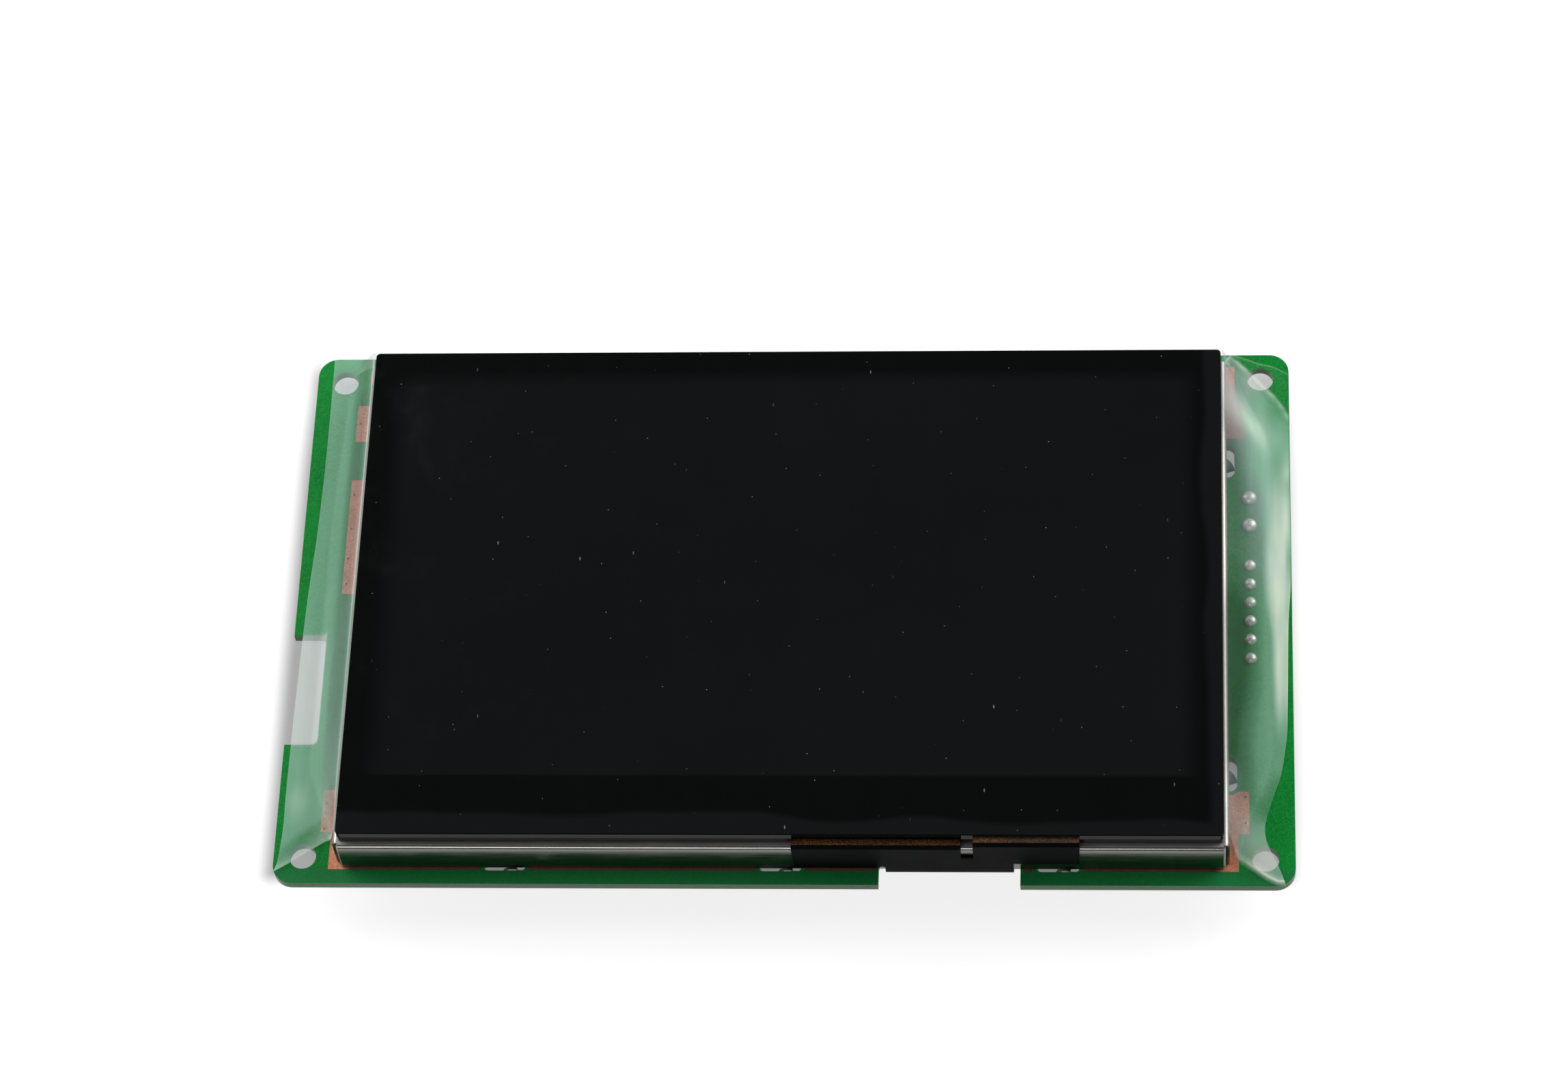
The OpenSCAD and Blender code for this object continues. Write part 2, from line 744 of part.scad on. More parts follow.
module at_power_pins() {
    for (y = row(2, power_pitch)) translate([pin_x, power_y + y, 0]) children();
}

module at_signal_pins() {
    for (y = row(signal_ways, signal_pitch)) translate([pin_x, signal_y + y, 0]) children();
}

module solder_joints() {
    color("lightgray") {
        at_power_pins() translate([0, 0, board_top]) solder_dome(power_dome_r, 0.7, power_pin_w);
        at_signal_pins() translate([0, 0, board_top]) solder_dome(signal_dome_r, 0.6, pin_w);
    }
}

// A pin from its solder joint down to a depth below the board
module pin(w, depth) {
    translate([-w / 2, -w / 2, -depth]) cube([w, w, depth + board_top + pin_tip]);
}

// The power header's shroud opens towards the board's edge
power_ends = 0.7;    // the body stands past the pins' pitches by this much
power_body_w = 2 * (power_pitch + power_ends);
power_behind = 3.3;
power_before = 4.7;
power_x0 = pin_x - power_behind;
power_x1 = pin_x + power_before;
power_wall = 0.8;
power_back = 3.6;    // depth of the solid back part that holds the pins
power_pin_in = 0.8;  // the pins end inside the shroud's mouth by this much
power_pin_z = header_h / 2;

module power_header() {
    color("darkgreen")
    difference() {
        translate([power_x0, power_y - power_body_w / 2, -header_h])
            cube([power_x1 - power_x0, power_body_w, header_h]);
        translate([power_x0 + power_back + power_wall, power_y - power_body_w / 2 + power_wall,
                -header_h + power_wall])
            cube([power_x1, power_body_w - 2 * power_wall, header_h - 2 * power_wall]);
        at_power_pins() power_pin();
    }
}

// An angled pin: down from the board, then out towards the edge
module power_pin() {
    w = power_pin_w;
    translate([-w / 2, -w / 2, -power_pin_z - w / 2])
        cube([w, w, power_pin_z + w / 2 + board_top + pin_tip]);
    translate([-w / 2, -w / 2, -power_pin_z - w / 2])
        cube([power_x1 - pin_x - power_pin_in + w / 2, w, w]);
}

module power_pins() {
    color("silver") at_power_pins() power_pin();
}

// The signal header: a base and a friction wall behind the pins
signal_body_w = signal_ways * signal_pitch;
signal_body_d = 5.8;
signal_base_h = 3.2;
signal_wall = 1;
signal_short = 0.3;  // the pins end below the friction wall by this much

module signal_header() {
    color("ivory")
    difference() {
        translate([pin_x - signal_body_d / 2, signal_y - signal_body_w / 2, 0])
            mirror([0, 0, 1]) {
                cube([signal_body_d, signal_body_w, signal_base_h]);
                translate([0, signal_pitch / 2, 0])
                    cube([signal_wall, signal_body_w - signal_pitch, header_h]);
            }
        at_signal_pins() pin(pin_w, header_h);
    }
}

module signal_pins() {
    color("silver") at_signal_pins() pin(pin_w, header_h - signal_short);
}

// The cable header: an open shroud with two rows of pins
cable_wall = 0.8;
cable_w = 6.4;
cable_ends = 2.2;    // the body stands past the outer pins by this much
cable_len = (cable_ways - 1) * cable_pitch + 2 * cable_ends;
cable_floor = 1.4;
cable_latch = 2.4;   // side of the latch windows in the long walls
cable_pin_w = 0.5;
cable_pin_in = 1.2;  // the pins end inside the shroud's mouth by this much

module at_cable_pins() {
    for (x = [-1, 1], y = row(cable_ways, cable_pitch))
        translate([cable_x + x * cable_pitch / 2, cable_y + y, 0]) children();
}

module cable_header() {
    color("ivory")
    difference() {
        translate([cable_x, cable_y, -header_h]) plate(cable_w, cable_len, header_h);
        translate([cable_x, cable_y, -header_h - eps])
            plate(cable_w - 2 * cable_wall, cable_len - 2 * cable_wall,
                header_h - cable_floor + eps);
        translate([cable_x, cable_y, -header_h - eps])
            plate(cable_w + 1, cable_latch, cable_latch);
        at_cable_pins() cable_pin();
    }
}

module cable_pin() {
    h = header_h - cable_pin_in;
    translate([-cable_pin_w / 2, -cable_pin_w / 2, -h]) cube([cable_pin_w, cable_pin_w, h]);
}

module cable_pins() {
    color("silver") at_cable_pins() cable_pin();
}

// ---------- flex sockets ----------

mouth_play = 0.05;   // room round a flex in its socket
mouth_flare = 0.35;  // the mouth is wider by this much at its entry
flare_d = 0.6;
socket_ends = 3;     // the socket is wider than its flex by this much

// A one-piece socket with a mouth for a flex whose upper face is at a depth below the board
module flex_socket(x, y, flex_w, flex_depth, flex_h) {
    w = flex_w + socket_ends;
    mouth = mouth_play;
    color("whitesmoke")
    difference() {
        translate([x - w / 2, y - socket_d / 2, -socket_h]) cube([w, socket_d, socket_h]);
        translate([x - flex_w / 2 - mouth, y - socket_d / 2 - eps, -flex_depth - flex_h - mouth])
            cube([flex_w + 2 * mouth, flex_in + 0.1, flex_h + 2 * mouth]);
        translate([x - flex_w / 2 - mouth, y - socket_d / 2 - eps,
                -flex_depth - flex_h - mouth_flare])
            cube([flex_w + 2 * mouth, flare_d, flex_h + 2 * mouth_flare]);
    }
}

lcd_depth = lcd_fold_r - lcd_fold_z - flex_t;

module lcd_flex_socket() {
    flex_socket(lcd_flex_x, lcd_socket_y, lcd_flex_w, lcd_depth, flex_t);
}

module touch_flex_socket() {
    flex_socket((neck_x0 + neck_x1) / 2, touch_socket_y, neck_w, -tail_z, flex_t);
}

contact_pitch = 1;
contact_size = [0.3, 0.9, 0.2];

// Solder tails behind a socket
module socket_tails(x, y, flex_w) {
    for (dx = row(floor((flex_w - 1) / contact_pitch), contact_pitch))
        translate([x + dx - contact_size.x / 2, y + socket_d / 2, -contact_size.z])
            cube(contact_size);
}

module socket_contacts() {
    color("silver") {
        socket_tails(lcd_flex_x, lcd_socket_y, lcd_flex_w);
        socket_tails((neck_x0 + neck_x1) / 2, touch_socket_y, neck_w);
    }
}

// ---------- chips and small parts ----------

chip_h = 1.4;
chip_stand = 0.1;
lead_pitch = 0.5;
lead_w = 0.22;
lead_t = 0.13;
lead_out = 1;
pin_mark_in = 1.2;   // from the body's edges to the first pin's mark

module controller_chip() {
    color("#222222")
    difference() {
        translate([chip_x, chip_y, -chip_stand - chip_h])
            linear_extrude(chip_h) rounded_rect(chip_w, chip_w, 0.3);
        translate([chip_x, chip_y, -chip_stand - chip_h - eps])
            translate([pin_mark_in - chip_w / 2, chip_w / 2 - pin_mark_in, 0])
                cylinder(h = 0.1, r = 0.4);
    }
}

// A gull-wing lead, standing out along +Y from the body's face
module lead() {
    z = -chip_stand - chip_h / 2;
    along_x(-lead_w / 2, lead_w / 2)
        polygon([[0, z], [0.35, z], [0.55, -lead_t], [lead_out, -lead_t], [lead_out, 0],
            [0.45, 0], [0.25, z + lead_t], [0, z + lead_t]]);
}

module controller_leads() {
    color("silver")
    translate([chip_x, chip_y, 0])
        for (side = [0 : 3], dx = row(lead_count, lead_pitch))
            rotate(90 * side) translate([dx, chip_w / 2, 0]) lead();
}

memory_size = [8, 12, 1.2];
memory_gap = 6;      // from the controller's body to the memory chip

module memory_chip() {
    color("#1e1e1e")
        translate([chip_x + (chip_w + memory_size.x) / 2 + memory_gap, chip_y, -memory_size.z])
            plate(memory_size.x, memory_size.y, memory_size.z);
}

// The crystal's can has a flat flange against the board
flange_size = [12, 4.8, 0.5];
crystal_size = [10.6, 3.8, 3.4];
crystal_away = 5;    // from the controller's body to the crystal's middle

module crystal() {
    color("silver")
    translate([chip_x, chip_y - chip_w / 2 - crystal_away, 0])
    mirror([0, 0, 1])
    for (size = [flange_size, crystal_size])
        linear_extrude(size.z) rounded_rect(size.x, size.y, size.y / 2 - 0.1);
}

// The power parts sit inboard of the power header
power_parts_in = 14;
can_x = pin_x - power_parts_in;
can_away = 10;       // from the power header's middle to the can
can_y = power_y - can_away;
can_d = 6.2;
can_h = 5.6;
can_base_w = 6.6;
can_base_h = 0.9;
coil_y = power_y + 3;
coil_w = 6.4;
coil_h = 3;
coil_well_r = 1.6;
coil_well_h = 0.4;

module power_inductor() {
    color("#333333")
    translate([can_x, coil_y, 0])
    mirror([0, 0, 1])
    difference() {
        linear_extrude(coil_h) rounded_rect(coil_w, coil_w, 1.4);
        translate([0, 0, coil_h - coil_well_h]) cylinder(h = 1, r = coil_well_r);
    }
}

module bulk_capacitor() {
    color("silver")
        translate([can_x, can_y, -can_h]) cylinder(h = can_h - can_base_h, d = can_d);
}

module bulk_capacitor_base() {
    color("#151515")
        translate([can_x, can_y, -can_base_h]) plate(can_base_w, can_base_w, can_base_h);
}

cap_w = 0.35;        // width of a chip part's end caps
cap_skin = 0.02;     // the end caps stand proud by this much

// A chip part: a body with two end caps
module chip_part(size) {
    l = size.x;
    w = size.y;
    h = size.z;
    translate([-l / 2, -w / 2, -h]) cube([l, w, h]);
    for (s = [-1, 1])
        translate([s * (l - cap_w + cap_skin) / 2 - cap_w / 2, -w / 2 - cap_skin, -h - cap_skin])
            cube([cap_w, w + 2 * cap_skin, h + cap_skin]);
}

// Chip parts: length, width, height
filter_cap = [1.6, 0.8, 0.8];
supply_cap = [2, 1.25, 1.1];
lamp_cap = [3.2, 1.6, 1.4];
pull_resistor = [1.6, 0.8, 0.45];
row_away = 4;        // from the controller's body to the capacitors above it
column_away = 5;     // from the controller's body to the capacitors beside it
lamp_cap_away = 9;   // from the can to the capacitors below it
socket_away = 6;     // from a flex socket's middle to its resistors

module capacitors() {
    color("burlywood") {
        translate([chip_x, chip_y + chip_w / 2 + row_away, 0])
            for (x = row(5, filter_cap.x + 1)) translate([x, 0, 0]) chip_part(filter_cap);
        translate([chip_x - chip_w / 2 - column_away, chip_y, 0])
            for (y = row(3, supply_cap.y * 2.4)) translate([0, y, 0]) chip_part(supply_cap);
        translate([can_x, can_y - lamp_cap_away, 0])
            for (y = row(2, lamp_cap.y * 1.9)) translate([0, y, 0]) chip_part(lamp_cap);
    }
}

module resistors() {
    color("#202020")
        for (x = row(6, 3 * pull_resistor.y), place = [[neck_x0 + neck_w / 2, touch_socket_y],
                [lcd_flex_x, lcd_socket_y]])
            translate([place.x + x, place.y + socket_away, 0]) rotate(90) chip_part(pull_resistor);
}

board();
contact_pads();
bezel();
backlight_frame();
reflector_sheet();
light_guide();
diffuser_sheet();
prism_sheet();
lamp_strip();
lamps();
rear_polariser();
array_glass();
filter_glass();
front_polariser();
driver_chip();
lcd_flex();
touch_gasket();
touch_sensor();
touch_cover();
touch_flex();
touch_flex_cover();
protective_film();
solder_joints();
power_header();
power_pins();
signal_header();
signal_pins();
cable_header();
cable_pins();
lcd_flex_socket();
touch_flex_socket();
socket_contacts();
controller_chip();
controller_leads();
memory_chip();
crystal();
power_inductor();
bulk_capacitor();
bulk_capacitor_base();
capacitors();
resistors();
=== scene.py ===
"""Looks of a display module with its clear protective film still on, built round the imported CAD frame.

Places and sizes are millimetres in the row frame, and metres only where Blender takes them."""
import json
import math
import random

import bmesh
import bpy
from mathutils import Matrix, Vector
from mathutils import noise as value_noise


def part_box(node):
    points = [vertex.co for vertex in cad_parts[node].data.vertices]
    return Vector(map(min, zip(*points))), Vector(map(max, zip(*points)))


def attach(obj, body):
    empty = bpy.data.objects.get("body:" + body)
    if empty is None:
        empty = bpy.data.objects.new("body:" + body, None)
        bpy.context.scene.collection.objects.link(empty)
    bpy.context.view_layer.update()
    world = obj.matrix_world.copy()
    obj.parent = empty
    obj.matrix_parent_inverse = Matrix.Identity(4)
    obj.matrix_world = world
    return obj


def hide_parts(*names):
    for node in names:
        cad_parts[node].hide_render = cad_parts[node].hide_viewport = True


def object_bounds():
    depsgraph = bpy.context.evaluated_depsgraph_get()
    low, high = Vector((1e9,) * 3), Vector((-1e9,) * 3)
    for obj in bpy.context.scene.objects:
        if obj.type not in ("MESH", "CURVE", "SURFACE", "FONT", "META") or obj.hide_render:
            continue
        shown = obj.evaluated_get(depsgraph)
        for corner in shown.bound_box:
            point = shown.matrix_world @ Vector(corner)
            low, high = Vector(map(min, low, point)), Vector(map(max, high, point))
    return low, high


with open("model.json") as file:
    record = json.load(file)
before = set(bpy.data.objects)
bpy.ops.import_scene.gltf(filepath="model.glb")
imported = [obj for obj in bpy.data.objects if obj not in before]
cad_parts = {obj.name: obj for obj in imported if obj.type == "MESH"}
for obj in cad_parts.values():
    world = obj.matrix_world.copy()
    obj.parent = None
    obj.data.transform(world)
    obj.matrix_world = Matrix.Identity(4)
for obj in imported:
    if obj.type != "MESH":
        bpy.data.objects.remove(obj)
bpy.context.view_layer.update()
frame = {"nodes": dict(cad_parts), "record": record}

MM = 0.001
NODES = frame["nodes"]
random.seed(7)


# ---------- sizes, read from the frame ----------

def box_mm(node):
    """Lowest and highest corner of a CAD node."""
    low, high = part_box(node)
    return Vector(low) / MM, Vector(high) / MM


def islands(node):
    """Lowest and highest corners of a CAD node's separate solids, sorted along X."""
    mesh = NODES[node].data
    parent = list(range(len(mesh.vertices)))

    def root(i):
        while parent[i] != i:
            parent[i] = parent[parent[i]]
            i = parent[i]
        return i

    # faces of one solid may not share vertices, so equal places are joined first
    seen = {}
    for v in mesh.vertices:
        key = tuple(round(c / MM, 3) for c in v.co)
        parent[root(v.index)] = root(seen.setdefault(key, v.index))
    for face in mesh.polygons:
        first = root(face.vertices[0])
        for i in face.vertices[1:]:
            parent[root(i)] = first
    boxes = {}
    for v in mesh.vertices:
        low, high = boxes.setdefault(root(v.index), (Vector((1e9,) * 3), Vector((-1e9,) * 3)))
        for k in range(3):
            low[k] = min(low[k], v.co[k] / MM)
            high[k] = max(high[k], v.co[k] / MM)
    return sorted(boxes.values(), key=lambda b: tuple(b[0]))


def middle_of(box, axis):
    """Middle of a box along one axis, 0 for X and 1 for Y."""
    return (box[0][axis] + box[1][axis]) / 2


BOARD_LOW, BOARD_HIGH = box_mm("board")
COVER_LOW, COVER_HIGH = box_mm("touch_cover")
COPPER_LOW, COPPER_HIGH = box_mm("contact_pads")
COPPER_TOP = COPPER_HIGH.z
FRONT_WALL = COPPER_LOW.y + 0.3     # outer face of the bezel's front wall, behind the copper's lip
TAIL_X = middle_of(box_mm("touch_flex_socket"), 0)
FLOOR_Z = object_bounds()[0].z / MM - 0.03

BOLTS = next(mount for mount in frame["record"]["mounts"] if mount["name"] == "mounting_holes")["dims"]
HOLE_X = BOLTS["spacing_x_mm"] / 2
HOLE_Y = BOLTS["spacing_y_mm"] / 2


# ---------- camera ----------

CAMERA_PLACE = Vector((46.49, -289.42, 535.85))
CAMERA_LOOK = Vector((-0.07752, 0.48646, -0.87026)).normalized()
CAMERA_ROLL = math.radians(-8.01)
CAMERA_LENS = 115.5


def make_camera():
    data = bpy.data.cameras.new("camera")
    data.sensor_width = 36
    data.lens = CAMERA_LENS
    data.clip_start = 0.01
    data.clip_end = 20
    camera = bpy.data.objects.new("camera", data)
    bpy.context.scene.collection.objects.link(camera)
    flat_right = CAMERA_LOOK.cross(Vector((0, 0, 1))).normalized()
    flat_up = flat_right.cross(CAMERA_LOOK)
    right = flat_right * math.cos(CAMERA_ROLL) + flat_up * math.sin(CAMERA_ROLL)
    up = flat_up * math.cos(CAMERA_ROLL) - flat_right * math.sin(CAMERA_ROLL)
    turn = Matrix((right, up, -CAMERA_LOOK)).transposed().to_4x4()
    camera.matrix_world = Matrix.Translation(CAMERA_PLACE * MM) @ turn
    bpy.context.scene.camera = camera


# ---------- shader helpers ----------

def srgb(r, g, b):
    """A colour given in 0 to 255 steps, as the linear colour that a shader takes."""
    def one(v):
        v /= 255
        return v / 12.92 if v <= 0.04045 else ((v + 0.055) / 1.055) ** 2.4
    return one(r), one(g), one(b), 1.0


class Tree:
    """Short calls that add nodes to a shader tree."""

    def __init__(self, tree):
        self.tree = tree
        tree.nodes.clear()

    def node(self, kind, **settings):
        made = self.tree.nodes.new(kind)
        for key, value in settings.items():
            setattr(made, key, value)
        return made

    def feed(self, socket, value):
        """Links a socket to another one, or sets it to a number or colour."""
        if isinstance(value, bpy.types.NodeSocket):
            self.tree.links.new(value, socket)
        else:
            socket.default_value = value

    def math(self, operation, a, b=0.0, clamp=False):
        made = self.node("ShaderNodeMath", operation=operation, use_clamp=clamp)
        self.feed(made.inputs[0], a)
        self.feed(made.inputs[1], b)
        return made.outputs[0]

    def mix(self, factor, a, b):
        """Colour a where factor is 0 and b where it is 1."""
        made = self.node("ShaderNodeMix", data_type="RGBA")
        self.feed(made.inputs["Factor"], factor)
        self.feed(made.inputs[6], a)
        self.feed(made.inputs[7], b)
        return made.outputs[2]

    def step(self, value, low, high, start=0.0, end=1.0):
        """A smooth step from start to end while value goes from low to high."""
        made = self.node("ShaderNodeMapRange", interpolation_type="SMOOTHSTEP")
        self.feed(made.inputs["Value"], value)
        made.inputs["From Min"].default_value = low
        made.inputs["From Max"].default_value = high
        made.inputs["To Min"].default_value = start
        made.inputs["To Max"].default_value = end
        return made.outputs["Result"]


class Paint(Tree):
    """One procedural material: a Principled shader and short calls that add nodes in front of it.

    Patterns read object coordinates in millimetres, which are the row frame's for every piece here."""

    def __init__(self, name, **values):
        self.material = bpy.data.materials.new(name)
        self.material.use_nodes = True
        super().__init__(self.material.node_tree)
        self.shader = self.node("ShaderNodeBsdfPrincipled")
        self.feed(self.node("ShaderNodeOutputMaterial").inputs["Surface"], self.shader.outputs[0])
        scaled = self.node("ShaderNodeVectorMath", operation="SCALE")
        self.feed(scaled.inputs[0], self.node("ShaderNodeTexCoord").outputs["Object"])
        self.feed(scaled.inputs["Scale"], 1 / MM)
        self.place = scaled.outputs[0]
        self.set(**values)

    def set(self, **values):
        """Sets or links the shader's sockets; base_color stands for Base Color."""
        for key, value in values.items():
            socket = next(s for s in self.shader.inputs if s.name.lower().replace(" ", "_") == key)
            self.feed(socket, value)

    def stretched(self, x=1.0, y=1.0, z=1.0, turn=0.0):
        """The place with each axis scaled, turned about Z."""
        made = self.node("ShaderNodeMapping")
        self.feed(made.inputs["Vector"], self.place)
        made.inputs["Scale"].default_value = (x, y, z)
        made.inputs["Rotation"].default_value = (0, 0, turn)
        return made.outputs[0]

    def noise(self, size, detail=2.0, rough=0.5, place=None):
        """Noise whose lumps are about size millimetres across."""
        made = self.node("ShaderNodeTexNoise")
        self.feed(made.inputs["Vector"], place or self.place)
        made.inputs["Scale"].default_value = 1 / size
        made.inputs["Detail"].default_value = detail
        made.inputs["Roughness"].default_value = rough
        return made.outputs["Fac"]

    def cells(self, size, place=None, flat=False):
        """Distance from the middle of cells of about size millimetres; flat ones ignore the height."""
        made = self.node("ShaderNodeTexVoronoi", voronoi_dimensions="2D" if flat else "3D")
        self.feed(made.inputs["Vector"], place or self.place)
        made.inputs["Scale"].default_value = 1 / size
        return made.outputs["Distance"]

    def axis(self, name):
        """The X, Y or Z place in millimetres."""
        made = self.node("ShaderNodeSeparateXYZ")
        self.feed(made.inputs[0], self.place)
        return made.outputs[name]

    def drawn(self, name):
        """A number that the mesh holds at each of its points."""
        return self.node("ShaderNodeAttribute", attribute_name=name).outputs["Fac"]

    def facing_up(self):
        """1 where the surface faces up or down, 0 on upright walls."""
        made = self.node("ShaderNodeSeparateXYZ")
        self.feed(made.inputs[0], self.node("ShaderNodeNewGeometry").outputs["Normal"])
        return self.math("ABSOLUTE", made.outputs["Z"])

    def bump(self, height, depth, strength=0.5):
        """Raises the surface by depth millimetres where height is 1."""
        made = self.node("ShaderNodeBump")
        made.inputs["Strength"].default_value = strength
        made.inputs["Distance"].default_value = depth * MM
        self.feed(made.inputs["Height"], height)
        self.set(normal=made.outputs[0])


# ---------- materials ----------

def solder_mask():
    p = Paint("solder_mask", specular_ior_level=0.12)
    fine = p.noise(0.22, 2, 0.6)
    broad = p.noise(9, 2)
    green = p.mix(p.step(fine, 0.35, 0.7), srgb(5, 106, 36), srgb(12, 132, 50))
    green = p.mix(p.step(broad, 0.3, 0.75, 0, 0.35), green, srgb(14, 138, 54))
    green = p.mix(p.drawn("track"), green, srgb(38, 152, 72))
    # painted shade: the strip before the bezel is painted darker and duller, as the bezel's front wall
    # shades it
    wall_shade = p.step(p.axis("Y"), FRONT_WALL + 0.3, FRONT_WALL - 0.4, 0, 0.6)
    green = p.mix(wall_shade, green, srgb(30, 104, 62))
    edge = p.mix(p.noise(0.5, 3), srgb(78, 106, 80), srgb(108, 130, 102))
    p.set(base_color=p.mix(p.step(p.facing_up(), 0.4, 0.6), edge, green))
    p.set(roughness=p.step(fine, 0.2, 0.8, 0.3, 0.42))
    p.bump(p.math("ADD", fine, broad), 0.012)
    return p.material


def copper():
    p = Paint("copper", metallic=0.45)
    grain = p.noise(0.3, 3, 0.7)
    stain = p.noise(2.4, 3)
    colour = p.mix(p.step(grain, 0.3, 0.7), srgb(172, 106, 78), srgb(208, 142, 112))
    colour = p.mix(p.step(stain, 0.45, 0.75, 0, 0.5), colour, srgb(140, 82, 60))
    # painted shade: the lip before the front wall is painted dark, as the wall shades it
    wall_shade = p.step(p.axis("Y"), FRONT_WALL + 0.3, FRONT_WALL)
    off_corner = p.step(p.math("ABSOLUTE", p.axis("X")), 52.2, 51)
    lip = p.math("MULTIPLY", wall_shade, off_corner)
    colour = p.mix(p.math("MULTIPLY", lip, 0.8), colour, srgb(64, 46, 32))
    # painted shade: the vias' holes are painted dark
    p.set(base_color=p.mix(p.drawn("hole"), colour, srgb(34, 26, 20)))
    p.set(roughness=p.step(grain, 0.2, 0.8, 0.38, 0.6))
    p.bump(grain, 0.01, 0.6)
    return p.material


def steel():
    """Rolled sheet, duller on top than on its walls, most of all on the strip before the touch panel,
    which is also painted lighter as a painted highlight; the sheet's front is painted darker as a painted
    shade.
    """
    p = Paint("steel", metallic=1.0)
    rolled = p.noise(0.5, 3, 0.6, p.stretched(0.08, 1, 1))
    smudge = p.noise(5, 3, 0.6)
    rough = p.math("ADD", p.step(rolled, 0.2, 0.8, 0.12, 0.24), p.step(smudge, 0.5, 0.9, 0, 0.14))
    top = p.step(p.facing_up(), 0.93, 0.99)
    at_front = p.step(p.axis("Y"), FRONT_WALL + 1.1, FRONT_WALL + 0.8)
    strip = p.math("MULTIPLY", top, at_front)
    rough = p.math("ADD", rough, p.math("MULTIPLY", top, 0.26))
    p.set(roughness=p.math("ADD", rough, p.math("MULTIPLY", strip, 0.2)))
    # painted shade: the front is painted darker, dimming what it reflects; painted highlight: the top
    # strip at the front is painted lighter
    plain = p.mix(at_front, srgb(147, 144, 137), srgb(114, 114, 110))
    p.set(base_color=p.mix(strip, plain, srgb(160, 159, 156)))
    p.bump(rolled, 0.003)
    return p.material


def moulded(name, colour, shade, rough=0.5, grain_depth=0.01):
    """Moulded plastic: a fine grain, a slight change of shade."""
    p = Paint(name)
    cloud = p.noise(3, 2)
    p.set(base_color=p.mix(p.step(cloud, 0.3, 0.7), colour, shade))
    grain = p.noise(0.12, 2, 0.6)
    p.set(roughness=p.step(grain, 0.2, 0.8, rough - 0.08, rough + 0.1))
    p.bump(grain, grain_depth)
    return p.material


def metal(name, colour, rough, grain=0.4, depth=0.01, metallic=1.0):
    """Plain metal, a little duller in patches of about grain millimetres."""
    p = Paint(name, metallic=metallic)
    patches = p.noise(grain, 3, 0.6)
    p.set(base_color=p.mix(p.step(patches, 0.45, 0.8, 0, 0.4), colour, srgb(150, 150, 146)))
    p.set(roughness=p.step(patches, 0.2, 0.8, rough * 0.7, rough * 1.5))
    p.bump(patches, depth)
    return p.material


def amber_film():
    """Polyimide over copper: the dark speckle is the etched pattern below the film."""
    p = Paint("amber_film", roughness=0.32)
    dots = p.cells(0.22)
    cloud = p.noise(5, 2)
    amber = p.mix(p.step(cloud, 0.35, 0.7), srgb(98, 60, 26), srgb(60, 38, 20))
    p.set(base_color=p.mix(p.step(dots, 0.34, 0.58), srgb(26, 17, 12), amber))
    p.bump(dots, 0.01, 0.4)
    return p.material


def black_film():
    p = Paint("black_film", base_color=srgb(5, 6, 7), specular_ior_level=0.02)
    grain = p.noise(0.1, 2, 0.7)
    cloud = p.noise(4, 2)
    p.set(roughness=p.math("ADD", p.step(grain, 0.2, 0.8, 0.36, 0.5), p.step(cloud, 0.3, 0.8, 0, 0.08)))
    p.bump(p.math("ADD", grain, cloud), 0.01)
    return p.material


def sensor_glass():
    """Black-printed glass round a clear view area, where the dark display shows through."""
    p = Paint("sensor_glass", ior=1.5)
    x = p.axis("X")
    y = p.axis("Y")
    across = p.math("MULTIPLY", p.step(x, -50.2, -46.6), p.step(x, 46.8, 49.8, 1, 0))
    along = p.math("MULTIPLY", p.step(y, -25.8, -25.4), p.step(y, 27.8, 30.4, 1, 0))
    cloud = p.noise(30, 3, 0.6)
    dark = p.mix(p.step(cloud, 0.4, 0.7), srgb(9, 11, 13), srgb(11, 13, 15))
    p.set(base_color=p.mix(p.math("MULTIPLY", across, along), srgb(2, 2, 2), dark))
    p.set(roughness=p.step(p.noise(6, 4, 0.7), 0.4, 0.8, 0.04, 0.12))
    # the ground edge is printed over
    p.set(specular_ior_level=p.step(p.facing_up(), 0.4, 0.7, 0.08, 0.5))
    return p.material


